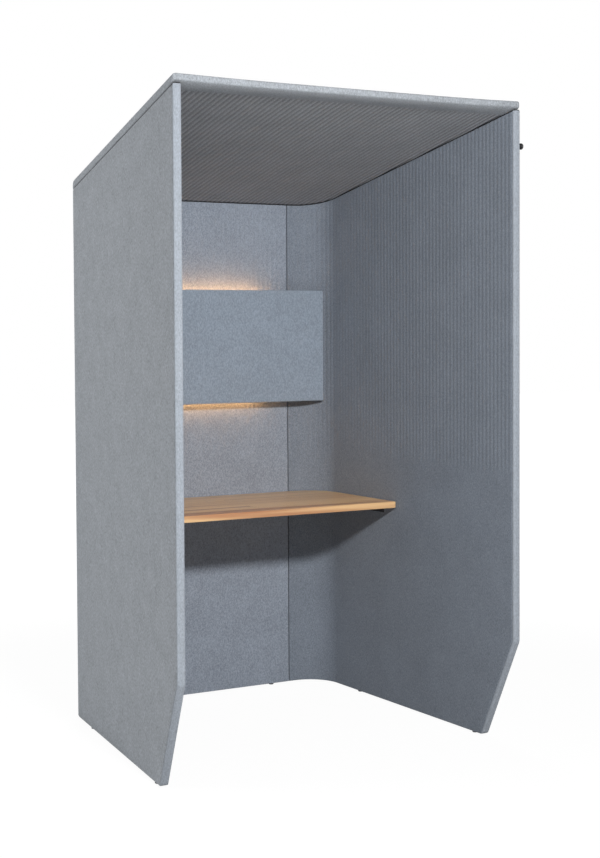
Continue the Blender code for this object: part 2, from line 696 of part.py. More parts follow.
def make_side_bracket(label, side, layers, desk, parent, finishes):
    """The angle bracket under one end of the desk, with its screws."""
    core, _, liner = layers
    depth = WALL_THICKNESS + SEAT_GAP
    near = DESK_FRONT_SETBACK + BRACKET_SETBACK
    far = near + SIDE_BRACKET_LENGTH
    section = angle_section(face_x(depth, 0.0))
    bracket = along_wall(f"desk_bracket_{label}", section, near, far, side, parent, finishes["steel"])
    stations = (near + BRACKET_SCREW_MARGIN, far - BRACKET_SCREW_MARGIN)
    leg = BRACKET_THICKNESS + SEAT_GAP
    middle = BRACKET_TOP - (BRACKET_LEG + BRACKET_THICKNESS) / 2
    wall_places = [(side * (face_x(depth, y) - leg), y, middle) for y in stations]
    inward = (BRACKET_LEG + BRACKET_THICKNESS) / 2
    desk_places = [(side * (face_x(depth, y) - inward), y, BRACKET_TOP - leg) for y in stations]
    pieces = (bracket, liner, core, desk)
    axis = (side * math.cos(FLARE), math.sin(FLARE), 0)
    make_bracket_screws(label, pieces, wall_places, axis, desk_places, parent, finishes["screw"])


def make_back_bracket(layers, desk, parent, finishes):
    """The angle bracket along the back of the desk, with its screws."""
    core, _, liner, _ = layers
    face = INNER_BACK - SEAT_GAP
    half = BACK_BRACKET_LENGTH / 2
    bracket = along_x("desk_bracket_back", angle_section(face), -half, half, parent, finishes["steel"])
    stations = (BRACKET_SCREW_MARGIN - half, half - BRACKET_SCREW_MARGIN)
    middle = BRACKET_TOP - (BRACKET_LEG + BRACKET_THICKNESS) / 2
    wall_places = [(x, face - BRACKET_THICKNESS - SEAT_GAP, middle) for x in stations]
    inward = face - (BRACKET_LEG + BRACKET_THICKNESS) / 2
    desk_places = [(x, inward, BRACKET_TOP - BRACKET_THICKNESS - SEAT_GAP) for x in stations]
    pieces = (bracket, liner, core, desk)
    make_bracket_screws("back", pieces, wall_places, (0, 1, 0), desk_places, parent, finishes["screw"])


def panel_outline(inset):
    """Outline of the panel as (x, z), moved in by an inset."""
    x = PANEL_HALF_WIDTH - inset
    low = PANEL_BOTTOM + inset
    high = PANEL_TOP - inset
    radius = max(PANEL_CORNER_RADIUS - inset, SEAT_GAP * 2)
    corners = [(-x, low), (x, low), (x, high), (-x, high)]
    return rounded(corners, [radius] * 4, [FILLET_STEPS] * 4)


def make_panel(parent, finishes):
    """The panel: a board with felt drawn over its front and edges."""
    seat = PANEL_FRONT + PANEL_FELT_THICKNESS
    edge = PANEL_EDGE_TAPER
    crown = PANEL_CROWN
    pocket = edge + PANEL_FELT_THICKNESS
    rings = [(pocket, seat), (pocket, PANEL_BACK), (edge, PANEL_BACK)]
    rings += [(0.0, seat), (crown, PANEL_FRONT + crown), (crown * 4, PANEL_FRONT)]
    loops = [[(x, y, z) for x, z in panel_outline(inset)] for inset, y in rings]
    loft("panel_felt", loops, parent, finishes["panel"])
    inset = pocket + SEAT_GAP
    board = [[(x, y, z) for x, z in panel_outline(inset)] for y in (seat + SEAT_GAP, PANEL_BACK)]
    loft("panel_board", board, parent, finishes["board"])


def make_hook_rails(parent, panel, finish):
    """The rails that carry the panel: one on the wall, one on the panel that hooks over it, one below."""
    wall = INNER_BACK - SEAT_GAP
    back = PANEL_BACK + SEAT_GAP
    half = RAIL_LENGTH / 2
    t = RAIL_THICKNESS
    seat = PANEL_TOP - RAIL_FROM_EDGE
    lip = wall - LIP_REACH
    floor = seat - HOOK_DEPTH
    foot = floor - RAIL_FLANGE
    wall_rail = [(wall, foot), (wall, floor), (lip + t, floor), (lip + t, seat), (lip, seat)]
    wall_rail += [(lip, floor - t), (wall - t, floor - t), (wall - t, foot)]
    along_x("wall_hook_rail", wall_rail, -half, half, parent, finish)
    catch = lip + t + HOOK_SLACK
    under = seat + SEAT_GAP
    tip = floor + HOOK_SLACK
    hem = under - RAIL_FLANGE
    panel_rail = [(back, hem), (back, under + t), (catch + t, under + t), (catch + t, tip)]
    panel_rail += [(catch, tip), (catch, under), (back + t, under), (back + t, hem)]
    along_x("panel_hook_rail", panel_rail, -half, half, panel, finish)
    low = PANEL_BOTTOM + RAIL_FROM_EDGE
    high = low + RAIL_FLANGE
    spacer = [(wall, low), (wall, high), (wall - t, high), (wall - t, low + t)]
    spacer += [(back + t, low + t), (back + t, high), (back, high), (back, low)]
    along_x("panel_spacer_rail", spacer, -half, half, parent, finish)


def make_light(label, height, parent, finishes):
    """One light channel on the back of the panel: channel, lamp tape and diffuser."""
    base = PANEL_BACK + SEAT_GAP
    mouth = base + CHANNEL_DEPTH
    half = CHANNEL_WIDTH / 2
    inner = half - CHANNEL_WALL
    floor = base + CHANNEL_WALL
    channel = [(base, -half), (base, half), (mouth, half), (mouth, inner), (floor, inner)]
    channel += [(floor, -inner), (mouth, -inner), (mouth, -half)]
    reach = LIGHT_LENGTH / 2
    section = [(y, height + z) for y, z in channel]
    along_x(f"light_channel_{label}", section, -reach, reach, parent, finishes["channel"])
    tape_low = floor + SEAT_GAP
    tape_top = tape_low + TAPE_THICKNESS
    tape_half = TAPE_WIDTH / 2
    tape = [(tape_low, height - tape_half), (tape_low, height + tape_half)]
    tape += [(tape_top, height + tape_half), (tape_top, height - tape_half)]
    along_x(f"light_tape_{label}", tape, -reach, reach, parent, finishes["tape"])
    lens_half = inner - SEAT_GAP
    lens_low = mouth - DIFFUSER_THICKNESS
    lens = [(lens_low, height - lens_half), (lens_low, height + lens_half)]
    lens += [(mouth, height + lens_half), (mouth, height - lens_half)]
    along_x(f"light_diffuser_{label}", lens, -reach, reach, parent, finishes["diffuser"])


def make_driver(parent, finish):
    """The power supply of the lights, fixed to the back of the panel."""
    near = PANEL_BACK + SEAT_GAP
    half = DRIVER_LENGTH / 2
    low = PANEL_BOTTOM + DRIVER_RISE
    corners = [(-half, low), (half, low), (half, low + DRIVER_HEIGHT), (-half, low + DRIVER_HEIGHT)]
    outline = rounded(corners, [DRIVER_ROUNDING] * 4, [FILLET_STEPS] * 4)
    loops = [[(x, y, z) for x, z in outline] for y in (near, near + DRIVER_DEPTH)]
    loft("light_driver", loops, parent, finish)


def make_inlet(layers, parent, finish):
    """The power inlet through the back wall: its flange inside, a shallow socket outside."""
    core, cover, _, ribbed = layers
    start = -SEAT_GAP - INLET_FLANGE
    floor = WALL_THICKNESS - INLET_SOCKET_DEPTH
    profile = [(0.0, start), (INLET_FLANGE_RADIUS, start), (INLET_FLANGE_RADIUS, -SEAT_GAP)]
    profile += [(INLET_RADIUS, -SEAT_GAP), (INLET_RADIUS, WALL_THICKNESS)]
    profile += [(INLET_SOCKET_RADIUS, WALL_THICKNESS), (INLET_SOCKET_RADIUS, floor), (0.0, floor)]
    place = (INLET_ACROSS, INNER_BACK, INLET_HEIGHT)
    turned("power_inlet", profile, place, (0, 1, 0), parent, finish)
    hole = INLET_RADIUS + FIT_CLEARANCE
    end = WALL_THICKNESS + CUT_MARGIN
    drill("inlet_hole", hole, -CUT_MARGIN, end, place, (0, 1, 0), parent, core, cover, ribbed)


def make_peg(layers, parent, finish):
    """The coat peg on the outside of the right wall, with the stud that holds it."""
    core, cover, _ = layers
    bite = COVER_THICKNESS + SEAT_GAP + PEG_STUD_BITE
    neck_end = PEG_REACH - PEG_HEAD_LENGTH
    chamfer = PEG_HEAD_LENGTH / 4
    profile = [(0.0, -bite), (PEG_STUD_RADIUS, -bite), (PEG_STUD_RADIUS, SEAT_GAP)]
    profile += [(PEG_FOOT_RADIUS, SEAT_GAP), (PEG_FOOT_RADIUS, PEG_FOOT_LENGTH)]
    profile += [(PEG_NECK_RADIUS, PEG_FOOT_LENGTH + chamfer), (PEG_NECK_RADIUS, neck_end)]
    profile += [(PEG_HEAD_RADIUS, neck_end + chamfer), (PEG_HEAD_RADIUS, PEG_REACH - chamfer)]
    profile += [(PEG_HEAD_RADIUS - chamfer, PEG_REACH), (0.0, PEG_REACH)]
    place = (face_x(0.0, PEG_SETBACK), PEG_SETBACK, PEG_HEIGHT)
    axis = (math.cos(FLARE), math.sin(FLARE), 0)
    turned("coat_peg", profile, place, axis, parent, finish)
    hole = PEG_STUD_RADIUS + FIT_CLEARANCE
    drill("peg_hole", hole, -bite - HOLE_MARGIN, CUT_MARGIN, place, axis, parent, core, cover)


def box_middle():
    """X of the middle of the whole booth's box, which the peg moves to the right."""
    wall = face_x(0.0, BAND_ROUNDING)
    rim = PEG_HEAD_RADIUS - PEG_HEAD_LENGTH / 4
    peg = face_x(0.0, PEG_SETBACK) + PEG_REACH * math.cos(FLARE) + rim * math.sin(FLARE)
    return (peg - wall) / 2


def make_finishes():
    """The surfaces, by use."""
    return {
        "cover": Finish("outer_felt", (0.29, 0.31, 0.33), 0.95),
        "liner": Finish("inner_felt", (0.19, 0.21, 0.23), 0.95),
        "ceiling": Finish("ceiling_felt", (0.15, 0.16, 0.17), 0.95),
        "band": Finish("edge_felt", (0.42, 0.45, 0.48), 0.9),
        "panel": Finish("panel_felt_grey", (0.27, 0.30, 0.34), 0.95),
        "board": Finish("board_ply", (0.52, 0.38, 0.24), 0.7),
        "gasket": Finish("gasket_rubber", (0.012, 0.012, 0.013), 0.8),
        "pin": Finish("pin_beech", (0.60, 0.44, 0.28), 0.6),
        "glide": Finish("glide_nylon", (0.03, 0.03, 0.032), 0.5),
        "wood": Finish("desk_wood", (0.52, 0.33, 0.17), 0.5),
        "steel": Finish("bracket_steel", (0.05, 0.05, 0.052), 0.5, 0.6),
        "screw": Finish("screw_zinc", (0.35, 0.35, 0.36), 0.35, 1.0),
        "channel": Finish("channel_aluminium", (0.62, 0.62, 0.63), 0.35, 1.0),
        "tape": Finish("tape_white", (0.8, 0.78, 0.7), 0.5),
        "diffuser": Finish("diffuser_opal", (0.9, 0.82, 0.68), 0.4),
        "driver": Finish("driver_plastic", (0.6, 0.6, 0.6), 0.5),
        "inlet": Finish("inlet_black", (0.02, 0.02, 0.02), 0.5),
        "peg": Finish("peg_black", (0.015, 0.015, 0.016), 0.45),
    }


def main():
    """Build the booth."""
    clear_scene()
    finishes = make_finishes()
    booth = empty("booth", (-box_middle(), -BOOTH_DEPTH / 2, 0.0))
    panel = empty("panel_slide", (0.0, 0.0, 0.0), booth)
    left = make_side_wall("left", -1, booth, finishes)
    right = make_side_wall("right", 1, booth, finishes)
    back = make_back_wall(booth, finishes)
    make_spline("left", -1, booth, finishes["pin"])
    make_spline("right", 1, booth, finishes["pin"])
    roof_board, ceiling = make_roof(booth, finishes)
    gasket = make_gasket(booth, finishes["gasket"])
    glide_front = front_edge(LAYER_FRONT)[-1][0] + GLIDE_FRONT_MARGIN
    for label, side, layers in (("left", -1, left), ("right", 1, right)):
        board = layers[0]
        for end, y in (("front", DOWEL_FRONT_INSET), ("rear", BOOTH_DEPTH - DOWEL_REAR_INSET)):
            place = (side * face_x(CORE_MIDDLE, y), y, FRONT_WALL_TOP - y * ROOF_FALL)
            boards = (board, gasket, ceiling, roof_board)
            make_dowel(f"roof_dowel_{label}_{end}", place, boards, booth, finishes["pin"])
        for end, y in (("front", glide_front), ("rear", BOOTH_DEPTH - GLIDE_REAR_INSET)):
            x = side * face_x(CORE_MIDDLE, y)
            make_glide(f"levelling_glide_{label}_{end}", x, y, board, booth, finishes["glide"])
    for label, side in (("left", -1), ("right", 1)):
        name = f"levelling_glide_back_{label}"
        y = BOOTH_DEPTH - CORE_MIDDLE
        make_glide(name, side * GLIDE_BACK_REACH, y, back[0], booth, finishes["glide"])
    desk = make_desk(booth, finishes["wood"])
    make_side_bracket("left", -1, left, desk, booth, finishes)
    make_side_bracket("right", 1, right, desk, booth, finishes)
    make_back_bracket(back, desk, booth, finishes)
    make_panel(panel, finishes)
    make_hook_rails(booth, panel, finishes["channel"])
    make_light("top", PANEL_TOP - LIGHT_FROM_EDGE, panel, finishes)
    make_light("bottom", PANEL_BOTTOM + LIGHT_FROM_EDGE, panel, finishes)
    make_driver(panel, finishes["driver"])
    make_inlet(back, booth, finishes["inlet"])
    make_peg(right, booth, finishes["peg"])


main()
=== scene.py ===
"""Looks of the acoustic work booth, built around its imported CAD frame.

Each sub-assembly is a class that reads its place from the frame, makes its pieces as meshes, dresses them
with its finishes and hands them to the bodies that carry them. Lengths are in metres, +Z is up, and the
open side of the booth faces -Y.
"""
import logging
import math
from dataclasses import dataclass, field, replace
from enum import Enum

import bmesh
import bpy
import numpy as np
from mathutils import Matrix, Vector

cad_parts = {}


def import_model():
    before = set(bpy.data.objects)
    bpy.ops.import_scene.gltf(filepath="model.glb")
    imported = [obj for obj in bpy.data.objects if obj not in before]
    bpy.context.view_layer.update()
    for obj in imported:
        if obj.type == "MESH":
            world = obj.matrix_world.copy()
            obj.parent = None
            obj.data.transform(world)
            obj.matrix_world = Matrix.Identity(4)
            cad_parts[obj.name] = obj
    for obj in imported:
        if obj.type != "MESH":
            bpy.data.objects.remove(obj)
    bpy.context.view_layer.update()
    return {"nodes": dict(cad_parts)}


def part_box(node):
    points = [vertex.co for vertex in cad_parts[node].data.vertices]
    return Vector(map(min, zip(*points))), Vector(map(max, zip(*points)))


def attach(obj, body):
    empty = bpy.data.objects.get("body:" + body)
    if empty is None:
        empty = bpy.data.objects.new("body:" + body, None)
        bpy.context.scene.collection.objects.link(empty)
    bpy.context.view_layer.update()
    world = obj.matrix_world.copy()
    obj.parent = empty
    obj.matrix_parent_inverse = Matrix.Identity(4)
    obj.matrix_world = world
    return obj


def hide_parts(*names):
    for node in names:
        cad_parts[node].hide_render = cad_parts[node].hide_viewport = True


LOG = logging.getLogger("booth")
ROOT_BODY = "booth"
PANEL_BODY = "panel"
CEILING_GROOVE_DEPTH = 0.0030
Shade = tuple[int, int, int]
Triple = tuple[float, float, float]
Outline = list[tuple[float, float]]
Measure = float | np.ndarray
Socket = bpy.types.NodeSocket
Piece = bpy.types.Object
Material = bpy.types.Material


class Side(Enum):
    """The two side walls, as the sign of their direction from the middle plane."""

    LEFT = -1
    RIGHT = 1

    @property
    def label(self) -> str:
        """The word that the side's CAD nodes start with."""
        return self.name.lower()


class Texture(Enum):
    """How the surface of a plain finish is broken up."""

    SMOOTH = "smooth"
    GRAINY = "grainy"
    BRUSHED = "brushed"


BLACK = (0.0, 0.0, 0.0, 1.0)
WHITE = (1.0, 1.0, 1.0, 1.0)


def linear(shade: Shade) -> tuple[float, float, float, float]:
    """Turn a colour as written on a screen into the renderer's own scale.

    Args:
        shade: Red, green and blue from 0 to 255.

    Returns:
        The linear colour with a full alpha.
    """
    parts = [part / 255.0 for part in shade]
    red, green, blue = ((p / 12.92) if p <= 0.04045 else ((p + 0.055) / 1.055) ** 2.4 for p in parts)
    return (red, green, blue, 1.0)


def shaded(shade: Shade, factor: float) -> Shade:
    """Multiply each part of a colour by a factor."""
    red, green, blue = (min(255, round(part * factor)) for part in shade)
    return (red, green, blue)


class Nodes:
    """Short words for filling a node tree."""

    def __init__(self, tree: bpy.types.NodeTree) -> None:
        """Keep the tree."""
        self.tree = tree

    def feed(self, socket: Socket, value: object) -> None:
        """Give a socket a plain value or a link.

        Args:
            socket: The socket that takes the value.
            value: A number, a vector, a colour or another node's output.
        """
        if isinstance(value, Socket):
            self.tree.links.new(value, socket)
        else:
            socket.default_value = value

    def node(self, kind: str, inputs: dict, **settings: object) -> bpy.types.Node:
        """Add a node.

        Args:
            kind: The node's type name.
            inputs: Values or links by socket name or number.
            settings: The node's own properties.

        Returns:
            The new node.
        """
        made = self.tree.nodes.new(kind)
        for key, value in settings.items():
            setattr(made, key, value)
        for key, value in inputs.items():
            self.feed(made.inputs[key], value)
        return made

    def maths(self, kind: str, *values: object) -> Socket:
        """Combine values by a named operation."""
        return self.node("ShaderNodeMath", dict(enumerate(values)), operation=kind).outputs[0]

    def attribute(self, name: str, kind: str) -> Socket:
        """Read a named attribute of the geometry."""
        return self.node("GeometryNodeInputNamedAttribute", {"Name": name}, data_type=kind).outputs[0]


class Sketch(Nodes):
    """The node tree of a material with one shader."""

    def __init__(self, name: str, roughness: float, metallic: float = 0.0) -> None:
        """Start the material.

        Args:
            name: The material's name.
            roughness: The shader's roughness, where no pattern drives it.
            metallic: 1 for bare metal.
        """
        self.material = bpy.data.materials.new(name)
        self.material.use_nodes = True
        super().__init__(self.material.node_tree)
        self.shader = self.tree.nodes["Principled BSDF"]
        self.set("Roughness", roughness)
        self.set("Metallic", metallic)
        self.place = self.node("ShaderNodeTexCoord", {}).outputs["Object"]

    def set(self, socket: str, value: object) -> None:
        """Set one of the shader's sockets, or link a pattern to it."""
        self.feed(self.shader.inputs[socket], value)

    def stretched(self, scale: Triple) -> Socket:
        """The object's coordinates with each axis stretched by a factor of its own."""
        return self.node("ShaderNodeMapping", {"Vector": self.place, "Scale": scale}).outputs[0]

    def noise(self, place: Socket, scale: float, detail: float = 3.0) -> Socket:
        """Soft noise from 0 to 1 around the half, with so many features to a metre."""
        inputs = {"Vector": place, "Scale": scale, "Detail": detail, "Roughness": 0.6}
        return self.node("ShaderNodeTexNoise", inputs).outputs[0]

    def spread(self, value: object, low: float, high: float, to_low: float, to_high: float) -> Socket:
        """Map a value from one range to another and hold it there."""
        inputs = {0: value, 1: low, 2: high, 3: to_low, 4: to_high}
        return self.node("ShaderNodeMapRange", inputs, clamp=True).outputs[0]

    def mixed(self, factor: object, first: object, second: object) -> Socket:
        """Blend two colours."""
        inputs = {0: factor, 6: first, 7: second}
        return self.node("ShaderNodeMix", inputs, data_type="RGBA").outputs[2]

    def bump(self, height: Socket, depth: float, strength: float = 1.0) -> None:
        """Give the shader a relief so many metres deep from a pattern of heights."""
        inputs = {"Height": height, "Distance": depth, "Strength": strength}
        self.set("Normal", self.node("ShaderNodeBump", inputs).outputs[0])


@dataclass(frozen=True)
class FeltFinish:
    """Pressed felt of mixed light and dark fibres, softly mottled, with a nap that catches light and, where
    grooves are given, painted shade in their bottoms.
    """

    name: str
    shade: Shade
    contrast: float = 0.17
    fibres: float = 950.0
    tufts: float = 240.0
    clouds: float = 7.0
    nap_depth: float = 0.0005
    groove_step: float = 0.0
    groove_start: float = 0.0
    # share of black blended into the groove bottoms: painted shade
    groove_tint: float = 0.0
    shares: Triple = (0.5, 0.4, 0.1)
    tones: tuple[float, float] = (0.36, 0.64)
    groove_edges: tuple[float, float] = (-0.8, 0.9)

    def material(self) -> Material:
        """Make the felt's material.

        Returns:
            A material whose pattern follows the object's own coordinates.
        """
        sketch = Sketch(self.name, roughness=0.95)
        fibres = sketch.noise(sketch.place, self.fibres, detail=5.0)
        tufts = sketch.noise(sketch.stretched((1.0, 1.0, 0.55)), self.tufts, detail=2.0)
        clouds = sketch.noise(sketch.place, self.clouds, detail=2.0)
        tuft_share, fibre_share, cloud_share = self.shares
        mixed = sketch.maths("MULTIPLY_ADD", fibres, fibre_share, sketch.maths("MULTIPLY", tufts, tuft_share))
        tone = sketch.maths("MULTIPLY_ADD", clouds, cloud_share, mixed)
        lift = sketch.spread(tone, *self.tones, 0.0, 1.0)
        dark = linear(shaded(self.shade, 1.0 - self.contrast))
        light = linear(shaded(self.shade, 1.0 + self.contrast))
        colour = sketch.mixed(lift, dark, light)
        if self.groove_step:
            across = sketch.node("ShaderNodeSeparateXYZ", {0: sketch.place}).outputs[0]
            run = sketch.maths("SUBTRACT", across, self.groove_start)
            turns = sketch.maths("DIVIDE", run, self.groove_step)
            wave = sketch.maths("COSINE", sketch.maths("MULTIPLY", turns, math.tau))
            # Painted shade: the felt is blended towards black at the bottom of each groove, so the grooves
            # read darker than their relief alone shades them.
            painted_groove_shade = sketch.spread(wave, *self.groove_edges, 0.0, self.groove_tint)
            colour = sketch.mixed(painted_groove_shade, colour, BLACK)
        sketch.set("Base Color", colour)
        sketch.set("Sheen Weight", 0.12)
        sketch.set("Sheen Roughness", 0.55)
        sketch.set("Specular IOR Level", 0.15)
        sketch.bump(mixed, self.nap_depth, strength=0.6)
        return sketch.material


@dataclass(frozen=True)
class WoodFinish:
    """Oiled solid wood glued up from staves that run along X, with grain, pores and a few small knots."""

    name: str
    pale: Shade
    deep: Shade
    stave_width: float = 0.125
    stave_length: float = 1.3
    knots: float = 9.0
    shift: float = 9.0

    def grain(self, sketch: Sketch, stretch: Triple, offset: Socket, detail: float) -> Socket:
        """Noise that is drawn out along X and starts anew on each stave.

        Args:
            sketch: The material.
            stretch: Features to a metre along each axis.
            offset: The stave's own shift of the pattern.
            detail: How fine the noise is.

        Returns:
            The noise, from 0 to 1 around the half.
        """
        place = sketch.node("ShaderNodeVectorMath", {0: sketch.stretched(stretch), 1: offset})
        return sketch.noise(place.outputs[0], 1.0, detail)

    def material(self) -> Material:
        """Make the wood's material.

        Returns:
            A material whose staves and grain follow the object's own coordinates.
        """
        sketch = Sketch(self.name, roughness=0.5)
        inputs = {"Vector": sketch.place, "Color1": BLACK, "Color2": WHITE, "Mortar": (0.1, 0.1, 0.1, 1.0)}
        inputs |= {"Scale": 1.0, "Mortar Size": 0.0004, "Bias": 0.0}
        inputs |= {"Brick Width": self.stave_length, "Row Height": self.stave_width}
        staves = sketch.node("ShaderNodeTexBrick", inputs, offset=0.37, offset_frequency=2)
        stave = sketch.maths("MULTIPLY", staves.outputs["Color"], 1.0)
        shift = sketch.maths("MULTIPLY", stave, self.shift)
        offset = sketch.node("ShaderNodeCombineXYZ", {0: shift, 1: shift, 2: shift}).outputs[0]
        rings = self.grain(sketch, (1.3, 62.0, 62.0), offset, 4.0)
        pores = self.grain(sketch, (14.0, 520.0, 520.0), offset, 2.0)
        streaks = self.grain(sketch, (0.6, 21.0, 21.0), offset, 1.0)
        tone = sketch.maths("MULTIPLY", stave, 0.16)
        for pattern, low, high, depth in (
            (rings, 0.34, 0.68, 0.28), (pores, 0.5, 0.8, 0.14), (streaks, 0.56, 0.64, 0.55),
        ):
            tone = sketch.maths("ADD", sketch.spread(pattern, low, high, 0.0, depth), tone)
        colour = sketch.mixed(tone, linear(self.pale), linear(self.deep))
        inputs = {"Vector": sketch.stretched((1.0, 2.2, 2.2)), "Scale": self.knots}
        cells = sketch.node("ShaderNodeTexVoronoi", inputs).outputs
        chosen = sketch.maths("GREATER_THAN", cells["Color"], 0.66)
        core = sketch.spread(cells["Distance"], 0.02, 0.055, 0.85, 0.0)
        colour = sketch.mixed(sketch.maths("MULTIPLY", core, chosen), colour, linear(shaded(self.deep, 0.34)))
        joint = sketch.maths("MULTIPLY", staves.outputs["Fac"], 0.5)
        sketch.set("Base Color", sketch.mixed(joint, colour, linear(shaded(self.deep, 0.5))))
        sketch.set("Roughness", sketch.spread(pores, 0.3, 0.8, 0.27, 0.44))
        sketch.set("Coat Weight", 0.2)
        sketch.set("Coat Roughness", 0.4)
        sketch.bump(pores, 0.00018, strength=0.5)
        return sketch.material


@dataclass(frozen=True)
class PlainFinish:
    """A moulded, coated or bare surface whose colour, gloss and relief vary a little."""

    name: str
    shade: Shade
    roughness: float
    texture: Texture = Texture.SMOOTH
    metallic: float = 0.0
    variation: float = 0.08
    grain: float = 420.0
    relief: float = 0.00004
    swing: float = 0.08

    def material(self) -> Material:
        """Make the finish's material.

        Returns:
            A material whose pattern follows the object's own coordinates.
        """
        sketch = Sketch(self.name, self.roughness, self.metallic)
        stretch = {
            Texture.BRUSHED: (0.03, 1.0, 1.0),
            Texture.GRAINY: (1.0, 1.0, 1.0),
            Texture.SMOOTH: (0.2, 0.2, 0.2),
        }
        specks = sketch.noise(sketch.stretched(stretch[self.texture]), self.grain)
        low = linear(shaded(self.shade, 1.0 - self.variation))
        high = linear(shaded(self.shade, 1.0 + self.variation))
        sketch.set("Base Color", sketch.mixed(sketch.spread(specks, 0.3, 0.7, 0.0, 1.0), low, high))
        least, most = self.roughness - self.swing, self.roughness + self.swing
        sketch.set("Roughness", sketch.spread(specks, 0.3, 0.7, least, most))
        sketch.bump(specks, self.relief, strength=0.5)
        return sketch.material


@dataclass(frozen=True)
class PlyFinish:
    """Board or pin of wood with a long upright grain."""

    name: str
    pale: Shade
    deep: Shade

    def material(self) -> Material:
        """Make the wood's material.

        Returns:
            A material whose grain stands upright.
        """
        sketch = Sketch(self.name, roughness=0.7)
        grain = sketch.noise(sketch.stretched((60.0, 60.0, 2.5)), 1.0, detail=4.0)
        fine = sketch.noise(sketch.stretched((480.0, 480.0, 16.0)), 1.0, detail=2.0)
        broad = sketch.spread(grain, 0.3, 0.7, 0.0, 0.7)
        tone = sketch.maths("ADD", broad, sketch.spread(fine, 0.4, 0.8, 0.0, 0.3))
        sketch.set("Base Color", sketch.mixed(tone, linear(self.pale), linear(self.deep)))
        sketch.bump(fine, 0.0002, strength=0.5)
        return sketch.material


@dataclass(frozen=True)
class GlowFinish:
    """An opal lens with warm lamps behind it, a little brighter over each lamp."""

    name: str
    shade: Shade
    glow: Shade
    strength: float
    lamps: float = 60.0

    def material(self) -> Material:
        """Make the lens's material.

        Returns:
            A glowing material whose light varies along X with the lamps behind it.
        """
        sketch = Sketch(self.name, roughness=0.45)
        along = sketch.node("ShaderNodeSeparateXYZ", {0: sketch.place}).outputs[0]
        phase = sketch.maths("MULTIPLY", along, self.lamps * math.tau)
        ripple = sketch.maths("SINE", phase)
        spots = sketch.spread(ripple, -1.0, 1.0, 0.9, 1.0)
        dim = linear(shaded(self.glow, 0.94))
        sketch.set("Base Color", linear(self.shade))
        sketch.set("Emission Color", sketch.mixed(spots, dim, linear(self.glow)))
        sketch.set("Emission Strength", self.strength)
        return sketch.material


class Finishes:
    """Every material of the booth, made once."""

    def __init__(self) -> None:
        """Make the materials."""
        grainy, brushed = Texture.GRAINY, Texture.BRUSHED
        self.cover = FeltFinish("outer_felt", (163, 168, 174), clouds=14.0).material()
        self.liner = FeltFinish("inner_felt", (133, 141, 152), tufts=330.0).material()
        self.back_liner = FeltFinish("back_felt", (151, 159, 171), tufts=330.0).material()
        # Painted light: the ceiling felt is lighter and less blue than the walls' felt, standing in for the
        # floor bounce and the warm lamp glow on the ceiling; its grooves get painted shade.
        self.ceiling = FeltFinish("ceiling_felt", (180, 183, 188), groove_tint=0.34)
        self.band = FeltFinish("edge_felt", (161, 168, 177), contrast=0.1).material()
        self.panel = FeltFinish("panel_felt", (150, 161, 174), contrast=0.12).material()
        self.desk = WoodFinish("desk_wood", (255, 212, 156), (172, 98, 64)).material()
        self.board = PlyFinish("wall_ply", (70, 65, 60), (48, 44, 40)).material()
        self.pin = PlyFinish("beech_pin", (214, 182, 142), (184, 146, 104)).material()
        self.gasket = PlainFinish("gasket_rubber", (24, 24, 26), 0.8, grainy).material()
        self.glide = PlainFinish("glide_nylon", (110, 112, 116), 0.5, grainy).material()
        self.bracket = PlainFinish("bracket_paint", (52, 53, 55), 0.55, grainy, relief=0.0001).material()
        self.screw = PlainFinish("screw_zinc", (168, 168, 172), 0.34, brushed, metallic=1.0).material()
        metal = PlainFinish("rail_aluminium", (206, 207, 210), 0.36, brushed, metallic=1.0)
        self.aluminium = metal.material()
        self.tape = PlainFinish("lamp_tape", (238, 232, 214), 0.5).material()
        self.driver = PlainFinish("driver_plastic", (204, 205, 206), 0.5, grainy).material()
        self.inlet = PlainFinish("inlet_plastic", (40, 40, 42), 0.45, grainy).material()
        self.peg = PlainFinish("peg_paint", (36, 36, 38), 0.42, grainy).material()
        self.diffuser = GlowFinish("warm_lens", (240, 232, 214), (255, 190, 122), 27.0).material()


def add_piece(name: str, points: np.ndarray, faces: list, sharp: float = 38.0) -> Piece:
    """Make a closed mesh piece with its faces pointing out.

    Args:
        name: The piece's name.
        points: Its points, in the frame's coordinates.
        faces: Point numbers of each face.
        sharp: Edges that turn by more than this many degrees stay crisp.

    Returns:
        The new object, at the origin.
    """
    mesh = bpy.data.meshes.new(name)
    mesh.from_pydata(np.asarray(points, float).tolist(), [], [list(face) for face in faces])
    shape = bmesh.new()
    shape.from_mesh(mesh)
    bmesh.ops.recalc_face_normals(shape, faces=shape.faces)
    shape.to_mesh(mesh)
    shape.free()
    mesh.shade_smooth()
    mesh.set_sharp_from_angle(angle=math.radians(sharp))
    piece = bpy.data.objects.new(name, mesh)
    bpy.context.scene.collection.objects.link(piece)
    return piece


def slab(name: str, face: np.ndarray, back: np.ndarray, sharp: float = 50.0) -> Piece:
    """Close two sheets of the same rows and columns into one slab.

    Args:
        name: The piece's name.
        face: Points of the sheet that shows, as rows by columns by three.
        back: Points of the sheet behind it, numbered the same way.
        sharp: Edges that turn by more than this many degrees stay crisp.

    Returns:
        The new object.
    """
    rows, columns = face.shape[:2]
    count = rows * columns
    index = np.arange(count).reshape(rows, columns)
    front = np.stack([index[:-1, :-1], index[:-1, 1:], index[1:, 1:], index[1:, :-1]], -1).reshape(-1, 4)
    behind = front[:, ::-1] + count
    ring = np.concatenate([index[0, :-1], index[:-1, -1], index[-1, :0:-1], index[:0:-1, 0]])
    after = np.roll(ring, -1)
    rim = np.stack([after, ring, ring + count, after + count], -1)
    points = np.concatenate([face.reshape(-1, 3), back.reshape(-1, 3)])
    return add_piece(name, points, np.concatenate([front, behind, rim]).tolist(), sharp)


